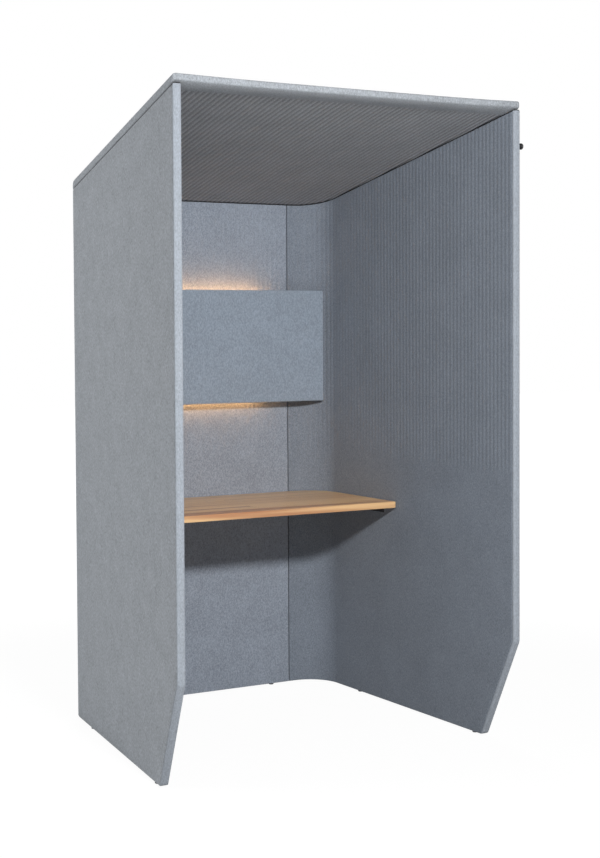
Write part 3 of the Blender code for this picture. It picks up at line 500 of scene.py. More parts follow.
def lofted(name: str, loops: list, sharp: float = 38.0) -> Piece:
    """Skin closed loops of equal length and close both ends.

    Args:
        name: The piece's name.
        loops: Lists of points, from one end of the piece to the other.
        sharp: Edges that turn by more than this many degrees stay crisp.

    Returns:
        The new object.
    """
    size = len(loops[0])
    points = np.concatenate([np.asarray(loop, float) for loop in loops])
    faces = [list(range(size))]
    for row in range(len(loops) - 1):
        base = row * size
        for i in range(size):
            j = (i + 1) % size
            faces.append([base + i, base + j, base + size + j, base + size + i])
    faces.append(list(range((len(loops) - 1) * size, len(loops) * size)))
    return add_piece(name, points, faces, sharp)


def turned(name: str, profile: list, place: Vector, axis: Vector, sides: int = 40) -> Piece:
    """Turn a profile about an axis.

    Args:
        name: The piece's name.
        profile: Pairs of radius and distance along the axis, with its end points on the axis left out.
        place: Where distance 0 lies.
        axis: The direction of the axis.
        sides: Points round the piece.

    Returns:
        The new object.
    """
    along = Vector(axis).normalized()
    aside = along.orthogonal().normalized()
    third = along.cross(aside)
    turns = [math.tau * i / sides for i in range(sides)]
    loops = []
    for radius, distance in profile:
        middle = Vector(place) + along * distance
        loops.append([middle + (aside * math.cos(t) + third * math.sin(t)) * radius for t in turns])
    return lofted(name, loops)


def quarter(radius: float, steps: int = 6) -> Outline:
    """A quarter round as pairs of distance from the border and sink below the face, from the border in."""
    turns = [math.pi / 2 * i / steps for i in range(steps + 1)]
    return [(radius * (1 - math.cos(t)), radius * (1 - math.sin(t))) for t in turns]


def soft_sink(across: np.ndarray, along: np.ndarray, radius: float) -> np.ndarray:
    """How far a soft sheet sinks near its borders.

    Args:
        across: Distance of each column from its nearest border.
        along: Distance of each row from its nearest border.
        radius: Radius of the rounding.

    Returns:
        The sink as rows by columns.
    """
    a = np.clip(radius - across, 0.0, radius)[None, :]
    b = np.clip(radius - along, 0.0, radius)[:, None]
    return radius - np.sqrt(np.clip(radius**2 - a**2 - b**2, 0.0, None))


def bordered(length: float, step: float, radius: float) -> np.ndarray:
    """Stations along a length, closer together in the roundings at both ends.

    Args:
        length: The whole length.
        step: Spacing between the roundings.
        radius: Radius of the roundings.

    Returns:
        Rising distances from 0 to the length.
    """
    rounding = [distance for distance, _ in quarter(radius)]
    count = max(2, round((length - 2 * radius) / step))
    middle = np.linspace(radius, length - radius, count + 1)
    return np.unique(np.round(np.concatenate([rounding, middle, [length - d for d in rounding]]), 7))


def fillet(before: tuple, corner: tuple, after: tuple, radius: float, steps: int) -> Outline:
    """Points of a round corner in a plane.

    Args:
        before: A point on the line that comes in.
        corner: The sharp corner.
        after: A point on the line that goes out.
        radius: Radius of the round corner.
        steps: Parts of the arc.

    Returns:
        Points from the incoming line to the outgoing one.
    """
    point = Vector(corner)
    inward = (Vector(before) - point).normalized()
    outward = (Vector(after) - point).normalized()
    half = inward.angle(outward) / 2
    middle = point + (inward + outward).normalized() * (radius / math.sin(half))
    reach = radius / math.tan(half)
    first = point + inward * reach - middle
    last = point + outward * reach - middle
    made = []
    for i in range(steps + 1):
        turn = first.lerp(last, i / steps).normalized() * radius
        made.append(tuple(middle + turn))
    return made


def rounded(corners: list, radii: list[float], steps: int) -> Outline:
    """A closed outline with round corners.

    Args:
        corners: The sharp corners in order.
        radii: A radius for each corner.
        steps: Parts of each arc.

    Returns:
        The outline's points.
    """
    made = []
    for i, corner in enumerate(corners):
        after = corners[(i + 1) % len(corners)]
        made += fillet(corners[i - 1], corner, after, radii[i], steps)
    return made


def settle(piece: Piece) -> None:
    """Turn a piece's evaluated modifiers into its plain mesh.

    Args:
        piece: The piece, whose modifiers are removed.
    """
    graph = bpy.context.evaluated_depsgraph_get()
    mesh = bpy.data.meshes.new_from_object(piece.evaluated_get(graph), depsgraph=graph)
    piece.modifiers.clear()
    old = piece.data
    piece.data = mesh
    bpy.data.meshes.remove(old)
    mesh.name = piece.name


def dress(piece: Piece, material: Material) -> None:
    """Give a piece one material."""
    piece.data.materials.clear()
    piece.data.materials.append(material)


def hand_over(piece: Piece, body: str, slot: str, *nodes: str, fill: float | None = None) -> None:
    """Hang a finished piece on the body that carries it, hide the CAD nodes that it stands for and log them.

    Args:
        piece: The finished piece.
        body: The body that it moves with.
        slot: Not used.
        nodes: The CAD nodes that it stands for.
        fill: Not used.
    """
    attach(piece, body)
    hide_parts(*nodes)
    LOG.info("%s: %d faces, stands for %s", piece.name, len(piece.data.polygons), ", ".join(nodes))


class NodeProgram(Nodes):
    """A Geometry Nodes tree with named inputs, built once and run on pieces."""

    def __init__(self, name: str, inputs: dict[str, str]) -> None:
        """Start the tree.

        Args:
            name: The tree's name.
            inputs: Socket types of its inputs by name.
        """
        super().__init__(bpy.data.node_groups.new(name, "GeometryNodeTree"))
        face = self.tree.interface
        face.new_socket("Geometry", in_out="INPUT", socket_type="NodeSocketGeometry")
        made = {key: face.new_socket(key, in_out="INPUT", socket_type=kind) for key, kind in inputs.items()}
        face.new_socket("Geometry", in_out="OUTPUT", socket_type="NodeSocketGeometry")
        self.sockets = {key: socket.identifier for key, socket in made.items()}
        self.source = self.tree.nodes.new("NodeGroupInput")

    def finish(self, geometry: Socket) -> None:
        """End the tree with real geometry in its material."""
        real = self.node("GeometryNodeRealizeInstances", {"Geometry": geometry})
        inputs = {"Geometry": real.outputs[0], "Material": self.source.outputs["Material"]}
        dressed = self.node("GeometryNodeSetMaterial", inputs)
        self.node("NodeGroupOutput", {"Geometry": dressed.outputs[0]})

    def run(self, piece: Piece, values: dict[str, object]) -> None:
        """Run the tree on a piece and keep the result as its plain mesh.

        Args:
            piece: The piece that goes in.
            values: The tree's inputs by name.
        """
        modifier = piece.modifiers.new(self.tree.name, "NODES")
        modifier.node_group = self.tree
        for key, value in values.items():
            modifier[self.sockets[key]] = value
        settle(piece)


@dataclass(frozen=True)
class Ribs:
    """The grooves pressed into the felt: soft waves that run out above the desk."""

    pitch: float = 0.0194
    depth: float = 0.0009
    crest: float = 1.15
    fade_low: float = 0.887
    fade_high: float = 0.927
    steps: int = 10
    fade_margin: float = 0.002
    fade_parts: int = 9

    @property
    def fade_rows(self) -> np.ndarray:
        """Heights of rows that draw the end of the grooves."""
        margin = self.fade_margin
        return np.linspace(self.fade_low - margin, self.fade_high + margin, self.fade_parts)

    def count(self, length: float) -> int:
        """Whole ribs on a length."""
        return max(1, round(length / self.pitch))

    def step(self, length: float) -> float:
        """Spacing of the columns that draw a rib."""
        return length / self.count(length) / self.steps

    def program(self) -> NodeProgram:
        """Build the tree that presses the grooves.

        Returns:
            A tree that moves each point along its "inward" vector by a wave of its "run".
        """
        kinds = dict.fromkeys(("Pitch", "Depth", "Crest", "Fade low", "Fade high"), "NodeSocketFloat")
        made = NodeProgram("felt_ribs", kinds | {"Material": "NodeSocketMaterial"})
        values = made.source.outputs
        inward = made.attribute("inward", "FLOAT_VECTOR")
        turns = made.maths("DIVIDE", made.attribute("run", "FLOAT"), values["Pitch"])
        wave = made.maths("COSINE", made.maths("MULTIPLY", turns, math.tau))
        half = made.maths("MULTIPLY", made.maths("ADD", wave, 1.0), 0.5)
        groove = made.maths("POWER", half, values["Crest"])
        place = made.node("GeometryNodeInputPosition", {}).outputs[0]
        height = made.node("ShaderNodeSeparateXYZ", {0: place}).outputs[2]
        inputs = {0: height, 1: values["Fade low"], 2: values["Fade high"], 3: 0.0, 4: 1.0}
        fade = made.node("ShaderNodeMapRange", inputs, interpolation_type="SMOOTHSTEP").outputs[0]
        sink = made.maths("MULTIPLY", made.maths("MULTIPLY", groove, fade), values["Depth"])
        offset = made.node("ShaderNodeVectorMath", {0: inward, "Scale": sink}, operation="SCALE")
        inputs = {"Geometry": values["Geometry"], "Offset": offset.outputs[0]}
        made.finish(made.node("GeometryNodeSetPosition", inputs).outputs[0])
        return made

    def press(self, made: NodeProgram, piece: Piece, shape: tuple, run: np.ndarray,
              inward: np.ndarray, length: float, material: Material) -> None:
        """Press the grooves into the sheet of a slab that shows.

        Args:
            made: The tree of grooves.
            piece: The slab, whose first points are the sheet.
            shape: Rows, columns and three, as the sheet's points are kept.
            run: Distance of each column along the ribbed line.
            inward: Direction into the felt, for the whole sheet or for each column.
            length: Length of the ribbed line.
            material: The felt.
        """
        mesh = piece.data
        shown = shape[0] * shape[1]
        whole_run = np.zeros(len(mesh.vertices), np.float32)
        whole_run[:shown] = np.broadcast_to(run, shape[:2]).ravel()
        whole_inward = np.zeros((len(mesh.vertices), 3), np.float32)
        whole_inward[:shown] = np.broadcast_to(inward, shape).reshape(-1, 3)
        mesh.attributes.new("run", "FLOAT", "POINT").data.foreach_set("value", whole_run)
        vectors = mesh.attributes.new("inward", "FLOAT_VECTOR", "POINT").data
        vectors.foreach_set("vector", whole_inward.ravel())
        values = {"Pitch": length / self.count(length), "Depth": self.depth, "Crest": self.crest}
        values |= {"Fade low": self.fade_low, "Fade high": self.fade_high, "Material": material}
        made.run(piece, values)
        for name in ("run", "inward"):
            piece.data.attributes.remove(piece.data.attributes[name])


@dataclass
class Shell:
    """Where the walls stand, read from the frame, with the sizes that boxes don't tell.

    The side walls open out and the roof rises towards the front.
    """

    middle: float
    front: float
    rear: float
    bottom: float
    wall: float
    cover: float
    liner: float
    layer_front: float
    seam: float
    seam_gap: float = 0.0032
    half_width: float = 0.613
    rear_half_width: float = 0.527
    top: float = 2.084
    rear_top: float = 1.850
    level_height: float = 1.1
    inner_radius: float = 0.125
    cut_height: float = 0.342
    cut_depth: float = 0.162
    knee_radius: float = 0.040
    foot_radius: float = 0.020
    foot_back_radius: float = 0.002
    arc_steps: int = 10

    @classmethod
    def from_frame(cls) -> "Shell":
        """Read the shell's places from its CAD nodes.

        Returns:
            The shell in the frame's coordinates.
        """
        left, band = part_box("left_wall_cover"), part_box("left_edge_band")
        back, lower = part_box("back_wall_cover"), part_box("back_wall_lower_liner")
        middle = (back[0].x + back[1].x) / 2
        return cls(
            middle=middle,
            front=band[0].y,
            rear=back[1].y,
            bottom=left[0].z,
            wall=back[1].y - lower[0].y,
            cover=back[1].y - back[0].y,
            liner=lower[1].y - lower[0].y,
            layer_front=left[0].y - band[0].y,
            seam=back[1].x - middle,
        )

    @property
    def spread(self) -> float:
        """How much nearer to the middle plane a side wall comes with each metre towards the back."""
        return (self.half_width - self.rear_half_width) / (self.rear - self.front)

    @property
    def flare(self) -> float:
        """Angle between a side wall and the middle plane, in radians."""
        return math.atan(self.spread)

    @property
    def fall(self) -> float:
        """How much the roof comes down with each metre towards the back."""
        return (self.top - self.rear_top) / (self.rear - self.front)

    @property
    def corner(self) -> tuple[float, float]:
        """Centre of the bend in plan, as a distance from the middle plane and a y."""
        radius = self.inner_radius + self.wall
        return (self.reach(radius, self.rear - radius), self.rear - radius)

    @property
    def flat_length(self) -> float:
        """Length of a side wall's inner face in plan, from its front end to the bend."""
        end = self.corner[1] + self.inner_radius * math.sin(self.flare)
        return (end - self.front - self.layer_front) / math.cos(self.flare)

    @property
    def bend_length(self) -> float:
        """Length of the bend on the inner face."""
        return self.inner_radius * (math.pi / 2 - self.flare)

    @property
    def lead_length(self) -> float:
        """Length of the flat end of a side wall between the bend and the open seam."""
        return self.corner[0] - self.seam - self.seam_gap

    def reach(self, depth: float, y: Measure) -> Measure:
        """How far from the middle plane a side wall lies at y, so deep below its outer face."""
        return self.half_width - (y - self.front) * self.spread - depth / math.cos(self.flare)

    def lean(self, heights: np.ndarray, y: Measure) -> np.ndarray:
        """Bring heights of the front plane down at y, so that the top follows the roof and the rest stays."""
        share = np.clip((heights - self.level_height) / (self.top - self.level_height), 0.0, 1.0)
        return heights - share * (y - self.front) * self.fall

    def side_vector(self, side: Side) -> Vector:
        """The direction out of a side wall."""
        return Vector((side.value * math.cos(self.flare), math.sin(self.flare), 0.0))

    def plan(self, depth: float, near: float, far: float) -> Outline:
        """Corners of a plate between the side walls.

        Args:
            depth: How far its sides lie below the walls' outer faces.
            near: The y of its front.
            far: The y of its back.

        Returns:
            Front left, front right, back right and back left.
        """
        wide, slim = self.reach(depth, near), self.reach(depth, far)
        corners = [(-wide, near), (wide, near), (slim, far), (-slim, far)]
        return [(self.middle + x, y) for x, y in corners]

    def front_edge(self, inset: float) -> Outline:
        """Front edge of a side wall, moved into the wall.

        Args:
            inset: How far it is moved in.

        Returns:
            Pairs of y and height from the top to the foot.
        """
        length = math.hypot(self.cut_depth, self.cut_height)
        slant = (self.cut_depth / length, -self.cut_height / length)
        normal = (self.cut_height / length, self.cut_depth / length)
        start = (normal[0] * inset, self.bottom + self.cut_height + normal[1] * inset)
        to_knee = (inset - start[0]) / slant[0]
        knee = (inset, start[1] + to_knee * slant[1])
        to_foot = (self.bottom - start[1]) / slant[1]
        foot = (start[0] + to_foot * slant[0], self.bottom)
        share = min(inset / self.layer_front, 1.0)
        foot_radius = self.foot_radius + (self.foot_back_radius - self.foot_radius) * share
        top = (inset, self.top - inset * self.fall)
        behind = (self.rear - self.front, self.bottom)
        line = [top] + fillet(top, knee, foot, self.knee_radius - inset, self.arc_steps)
        line += fillet(knee, foot, behind, foot_radius, self.arc_steps)
        return [(self.front + y, z) for y, z in line]


@dataclass
class WallSheet:
    """A grid that follows a side wall from its front edge round the bend to the seam."""

    shell: Shell
    side: Side
    straight: np.ndarray
    bend: np.ndarray
    lead: np.ndarray
    heights: np.ndarray

    @classmethod
    def lay_out(cls, shell: Shell, side: Side, step: float, radius: float,
                heights: np.ndarray) -> "WallSheet":
        """Choose the columns of a sheet.

        Args:
            shell: The shell.
            side: The wall's side.
            step: Spacing of the columns on the inner face.
            radius: Radius of the rounded borders.
            heights: Heights of the rows.

        Returns:
            The sheet.
        """
        length = shell.flat_length
        straight = bordered(length, step, radius)
        straight = straight[straight <= length - radius]
        turns = max(12, round(shell.bend_length / step))
        bend = np.linspace(shell.flare, math.pi / 2, turns + 1)
        lead = bordered(shell.lead_length, step, radius)
        return cls(shell, side, straight, bend, lead[lead > radius], heights)

    @property
    def length(self) -> float:
        """Length of the inner face in plan."""
        return self.shell.flat_length + self.shell.bend_length + self.shell.lead_length

    def run(self) -> np.ndarray:
        """Distance of each column from the front, on the inner face."""
        shell = self.shell
        bend = shell.flat_length + (self.bend - shell.flare) * shell.inner_radius
        return np.concatenate([self.straight, bend, shell.flat_length + shell.bend_length + self.lead])

    def outward(self) -> np.ndarray:
        """Direction out of the wall at each column."""
        flare = self.shell.flare
        flat = np.tile([math.cos(flare), math.sin(flare), 0.0], (len(self.straight), 1))
        arc = np.stack([np.cos(self.bend), np.sin(self.bend), np.zeros_like(self.bend)], -1)
        back = np.tile([0.0, 1.0, 0.0], (len(self.lead), 1))
        made = np.concatenate([flat, arc, back])
        made[:, 0] *= self.side.value
        return made

    def points(self, depth: float) -> np.ndarray:
        """Points of the sheet.

        Args:
            depth: How far the sheet lies below the wall's outer face.

        Returns:
            Rows by columns by three.
        """
        shell = self.shell
        corner_x, corner_y = shell.corner
        edge = np.array(shell.front_edge(shell.layer_front))[::-1]
        front = np.interp(self.heights, edge[:, 1], edge[:, 0])
        swing = shell.inner_radius + shell.wall - depth
        end = corner_y + swing * math.sin(shell.flare)
        rows, columns = len(self.heights), len(self.run())
        made = np.zeros((rows, columns, 3))
        flat = len(self.straight)
        arc = flat + len(self.bend)
        share = self.straight / shell.flat_length
        made[:, :flat, 1] = front[:, None] + (end - front)[:, None] * share[None, :]
        made[:, :flat, 0] = shell.reach(depth, made[:, :flat, 1])
        made[:, flat:arc, 0] = corner_x + swing * np.cos(self.bend)
        made[:, flat:arc, 1] = corner_y + swing * np.sin(self.bend)
        made[:, arc:, 0] = corner_x - self.lead
        made[:, arc:, 1] = shell.rear - depth
        made[:, :, 0] = shell.middle + self.side.value * made[:, :, 0]
        made[:, :, 2] = shell.lean(self.heights[:, None], made[:, :, 1])
        return made

    def sink(self, radius: float) -> np.ndarray:
        """Sink of the sheet near its borders, as rows by columns by one."""
        run = self.run()
        across = np.minimum(run, self.length - run)
        along = np.minimum(self.heights - self.shell.bottom, self.shell.top - self.heights)
        return soft_sink(across, along, radius)[:, :, None]


@dataclass
class FeltWork:
    """What the felt pieces of the walls and the roof share."""

    shell: Shell
    ribs: Ribs
    pressing: NodeProgram
    finishes: Finishes
    cover_rounding: float = 0.0022
    liner_rounding: float = 0.0028
    skin_clearance: float = 0.0002
    tight: float = 1.0

    def rows(self, extra: np.ndarray, radius: float) -> np.ndarray:
        """Heights of a sheet's rows, with its rounded borders.

        Args:
            extra: More heights to hold.
            radius: Radius of the rounded borders.

        Returns:
            Rising heights.
        """
        shell = self.shell
        rounding = [distance for distance, _ in quarter(radius)]
        ends = [shell.bottom + d for d in rounding] + [shell.top - d for d in rounding]
        held = np.clip(np.concatenate([ends, extra]), shell.bottom, shell.top)
        return np.unique(np.round(held, 5))

    def hand_felt(self, piece: Piece, slot: str, *nodes: str) -> None:
        """Hand over a felt piece, which stays on the booth."""
        hand_over(piece, ROOT_BODY, slot, *nodes, fill=self.tight)


@dataclass
class SideWall(FeltWork):
    """One side wall: its felt cover, its grooved liner and the edging along its front."""

    side: Side = Side.LEFT
    band_rounding: float = 0.0070
    band_back_rounding: float = 0.0022
    band_depth: float = 0.010
    cover_step: float = 0.010
    slant_margin: float = 0.03
    slant_parts: int = 5
    cover_rows: tuple[float, float, int] = (0.5, 1.9, 8)
    low_rows: tuple[float, ...] = (0.5, 0.75)
    high_rows: tuple[float, float, int] = (1.2, 1.8, 4)

    def heights(self, extra: np.ndarray, radius: float) -> np.ndarray:
        """Rows of a sheet, close together where its front edge bends.

        Args:
            extra: More heights to hold.
            radius: Radius of the rounded borders.

        Returns:
            Rising heights.
        """
        shell, margin = self.shell, self.slant_margin
        edge = [z for _, z in shell.front_edge(shell.layer_front)]
        slant = np.linspace(shell.bottom + margin, shell.bottom + shell.cut_height - margin, self.slant_parts)
        return self.rows(np.concatenate([edge, slant, extra]), radius)

    def make_cover(self) -> None:
        """Make the smooth felt outside."""
        radius = self.cover_rounding
        rows = self.heights(np.linspace(*self.cover_rows), radius)
        sheet = WallSheet.lay_out(self.shell, self.side, self.cover_step, radius, rows)
        face = sheet.points(0.0) - sheet.outward()[None] * sheet.sink(radius)
        back = sheet.points(self.shell.cover - self.skin_clearance)
        piece = slab(f"{self.side.label}_felt_cover", face, back)
        dress(piece, self.finishes.cover)
        self.hand_felt(piece, "outer_felt", f"{self.side.label}_wall_cover")

    def make_liner(self) -> None:
        """Make the felt inside, grooved above the desk and plain below it."""
        radius = self.liner_rounding
        extra = np.concatenate([self.ribs.fade_rows, np.linspace(*self.high_rows), self.low_rows])
        rows = self.heights(extra, radius)
        plan = WallSheet.lay_out(self.shell, self.side, self.ribs.pitch, radius, rows)
        step = self.ribs.step(plan.length)
        sheet = WallSheet.lay_out(self.shell, self.side, step, radius, rows)
        outward = sheet.outward()
        face = sheet.points(self.shell.wall) + outward[None] * sheet.sink(radius)
        back = sheet.points(self.shell.wall - self.shell.liner + self.skin_clearance)
        label = self.side.label
        piece = slab(f"{label}_felt_liner", face, back)
        felt = self.finishes.liner
        self.ribs.press(self.pressing, piece, face.shape, sheet.run(), outward, sheet.length, felt)
        self.hand_felt(piece, "inner_felt", f"{label}_wall_ribbed_liner", f"{label}_wall_lower_liner")

    def make_band(self) -> None:
        """Make the felt edging that follows the front edge and its slanted cut."""
        shell, depth = self.shell, self.band_depth
        front = quarter(self.band_rounding, 8)
        behind = quarter(self.band_back_rounding, 5)
        section = [(sink, depth - distance) for distance, sink in behind]
        section += [(distance, sink) for distance, sink in front]
        section += [(shell.wall - distance, sink) for distance, sink in reversed(front)]
        section += [(shell.wall - sink, depth - distance) for distance, sink in reversed(behind)]
        edges = [shell.front_edge(inset) for _, inset in section]
        loops = []
        for station in range(len(edges[0])):
            loop = []
            for (across, _), edge in zip(section, edges):
                y, z = edge[station]
                loop.append((shell.middle + self.side.value * shell.reach(across, y), y, z))
            loops.append(loop)
        label = self.side.label
        piece = lofted(f"{label}_felt_edging", loops, sharp=50.0)
        dress(piece, self.finishes.band)
        self.hand_felt(piece, "edge_felt", f"{label}_edge_band")

    def build(self) -> None:
        """Make all pieces of the wall."""
        self.make_cover()
        self.make_liner()
        self.make_band()


@dataclass
class BackWall(FeltWork):
    """The flat back wall: a felt cover outside and a grooved liner inside."""

    cover_step: float = 0.040
    cover_rows: tuple[float, float, int] = (0.2, 1.8, 12)
    low_rows: tuple[float, float, int] = (0.1, 0.9, 5)
    high_rows: tuple[float, float, int] = (1.1, 1.9, 5)

    def grid(self, across: np.ndarray, heights: np.ndarray, y: float) -> np.ndarray:
        """Points of an upright sheet.

        Args:
            across: Distances from the sheet's left end.
            heights: Heights of the rows.
            y: Where the sheet lies.

        Returns:
            Rows by columns by three.
        """
        made = np.zeros((len(heights), len(across), 3))
        made[:, :, 0] = self.shell.middle - self.shell.seam + across[None, :]
        made[:, :, 1] = y
        made[:, :, 2] = self.shell.lean(heights, y)[:, None]
        return made

    def sink(self, across: np.ndarray, heights: np.ndarray, radius: float) -> np.ndarray:
        """Sink of a sheet near its borders."""
        side = np.minimum(across, 2 * self.shell.seam - across)
        along = np.minimum(heights - self.shell.bottom, self.shell.top - heights)
        return soft_sink(side, along, radius)

    def make_cover(self) -> None:
        """Make the smooth felt on the back."""
        radius = self.cover_rounding
        across = bordered(2 * self.shell.seam, self.cover_step, radius)
        heights = self.rows(np.linspace(*self.cover_rows), radius)
        face = self.grid(across, heights, self.shell.rear)
        face[:, :, 1] -= self.sink(across, heights, radius)
        back = self.grid(across, heights, self.shell.rear - self.shell.cover + self.skin_clearance)
        piece = slab("back_felt_cover", face, back)
        dress(piece, self.finishes.cover)
        self.hand_felt(piece, "outer_felt", "back_wall_cover")

    def make_liner(self) -> None:
        """Make the felt inside, grooved above the desk and plain below it."""
        shell, radius = self.shell, self.liner_rounding
        length = 2 * shell.seam
        across = bordered(length, self.ribs.step(length), radius)
        plain, ribbed = np.linspace(*self.low_rows), np.linspace(*self.high_rows)
        heights = self.rows(np.concatenate([self.ribs.fade_rows, plain, ribbed]), radius)
        face = self.grid(across, heights, shell.rear - shell.wall)
        face[:, :, 1] += self.sink(across, heights, radius)
        back = self.grid(across, heights, shell.rear - shell.wall + shell.liner - self.skin_clearance)
        piece = slab("back_felt_liner", face, back)
        inward, felt = np.array([0.0, 1.0, 0.0]), self.finishes.back_liner
        self.ribs.press(self.pressing, piece, face.shape, across, inward, length, felt)
        self.hand_felt(piece, "inner_felt", "back_wall_ribbed_liner", "back_wall_lower_liner")

    def build(self) -> None:
        """Make all pieces of the wall."""
        self.make_cover()
        self.make_liner()


@dataclass
class Roof(FeltWork):
    """The roof: a soft felt cover with rounded edges and a grooved ceiling."""

    tight: float = 0.9
    shadow_gap: float = 0.004
    thickness: float = 0.0286
    board_top: float = 0.0203
    lining: float = 0.0083
    ceiling: float = 0.007
    edge_rounding: float = 0.007
    front_radius: float = 0.010
    lip_depth: float = 0.062
    lip_gap: float = 0.0004
    nose_depth: float = 0.056
    nose_height: float = 0.0095
    sag: float = 0.004
    ledge: float = 0.0005
    slack: float = 0.0012
    ceiling_rounding: float = 0.0015
    side_trim: float = 0.001
    least_radius: float = 0.0006
    steps: int = 18
    front_parts: int = 24
    length_parts: int = 24
    crown: tuple[tuple[float, float], ...] = ((0.04, 0.4), (0.08, 0.0), (0.12, 0.0))

    def outline(self, inset: float, front: float | None = None) -> Outline:
        """Plan outline of the roof, moved in.

        Args:
            inset: How far it is moved in.
            front: How far its front is moved in, where that differs.

        Returns:
            The outline's points.
        """
        shell = self.shell
        small = max(self.front_radius - inset, self.least_radius)
        large = shell.inner_radius + shell.wall - inset
        near = shell.front + (inset if front is None else front)
        corners = shell.plan(inset, near, shell.rear - inset)
        points = rounded(corners, [small, small, large, large], self.steps)
        split = self.steps + 1
        places = np.linspace(points[split - 1][0], points[split][0], self.front_parts + 1)[1:-1]
        return points[:split] + [(x, near) for x in places] + points[split:]

    def ring(self, inset: float, front: float, height: float, sag: float) -> list[Triple]:
        """One ring of the cover, which follows the roof's slope.

        Args:
            inset: How far its outline is moved in.
            front: How far its front is moved in.
            height: Its height at the front of the booth.
            sag: How far the middle of the front hangs.

        Returns:
            The ring's points.
        """
        shell = self.shell
        made = []
        for x, y in self.outline(inset, front):
            aside = min(abs(x - shell.middle) / (shell.half_width - shell.wall), 1.0)
            behind = min((y - shell.front) / self.lip_depth, 1.0)
            drop = sag * (1.0 - aside**4) * (1.0 - behind)
            made.append((x, y, height - (y - shell.front) * shell.fall - drop))
        return made

    def make_cover(self) -> None:
        """Make the felt cover, which wraps the roof board's top and edges and turns under it at the front."""
        shell = self.shell
        low = shell.top + self.shadow_gap
        high = low + self.thickness
        lining = self.lining - self.skin_clearance
        rounding = quarter(self.edge_rounding, 8)
        lip_top = low + self.ceiling
        nose = self.nose_depth / self.nose_height
        lip = (lining - self.ledge, self.lip_depth)
        board_top = low + self.board_top + self.skin_clearance
        inner = [(lining, lining, board_top), (lining, lining, lip_top), (*lip, lip_top)]
        outer = [(*lip, low)]
        for distance, sink in quarter(self.nose_height, 10):
            short = max(self.edge_rounding - distance, 0.0)
            aside = self.edge_rounding - math.sqrt(self.edge_rounding**2 - short**2)
            outer.append((aside, sink * nose, low + distance))
        outer += [(distance, distance, high - self.slack - sink) for distance, sink in rounding]
        outer += [(inset, inset, high - self.slack * share) for inset, share in self.crown]
        loops = [self.ring(*sizes, 0.0) for sizes in inner] + [self.ring(*sizes, self.sag) for sizes in outer]
        piece = lofted("roof_felt_cover", loops, sharp=50.0)
        dress(piece, self.finishes.cover)
        self.hand_felt(piece, "outer_felt", "roof_cover")

    def ceiling_end(self, aside: np.ndarray) -> np.ndarray:
        """Where the ceiling ends at the back.

        Args:
            aside: Distances from the middle plane.

        Returns:
            The y of its end at each distance: the back edge, the bend or a side edge.
        """
        shell = self.shell
        corner_x, corner_y = shell.corner
        radius = shell.inner_radius + shell.wall - self.lining
        over = np.clip(aside - corner_x, 0.0, radius)
        bend = corner_y + np.sqrt(radius**2 - over**2)
        side = shell.front + (shell.reach(self.lining, shell.front) - aside) / shell.spread
        return np.where(over > radius * math.cos(shell.flare), side, bend)

    def make_ceiling(self) -> None:
        """Make the ceiling, grooved from front to back."""
        shell, radius = self.shell, self.ceiling_rounding
        near = shell.front + self.lip_depth + self.lip_gap
        half = shell.reach(self.lining, near) - self.side_trim
        width = 2 * half
        across = bordered(width, self.ribs.step(width), radius)
        far = self.ceiling_end(np.abs(across - half))
        shares = np.linspace(0.0, 1.0, self.length_parts + 1)
        face = np.zeros((len(shares), len(across), 3))
        face[:, :, 0] = shell.middle - half + across[None, :]
        face[:, :, 1] = near + shares[:, None] * (far - near)[None, :]
        face[:, :, 2] = shell.top + self.shadow_gap - (face[:, :, 1] - shell.front) * shell.fall
        back = face.copy()
        back[:, :, 2] += self.ceiling
        side = np.minimum(across, width - across)
        face[:, :, 2] += soft_sink(side, np.full(len(shares), radius), radius)
        piece = slab("ceiling_felt_liner", face, back)
        inward = np.array([0.0, 0.0, 1.0])
        step = width / self.ribs.count(width)
        felt = replace(self.finishes.ceiling, groove_step=step, groove_start=shell.middle - half)
        self.ribs.press(self.pressing, piece, face.shape, across, inward, width, felt.material())
        self.hand_felt(piece, "ceiling_felt", "ceiling_liner")

    def build(self) -> None:
        """Make all pieces of the roof."""
        self.make_cover()
        self.make_ceiling()


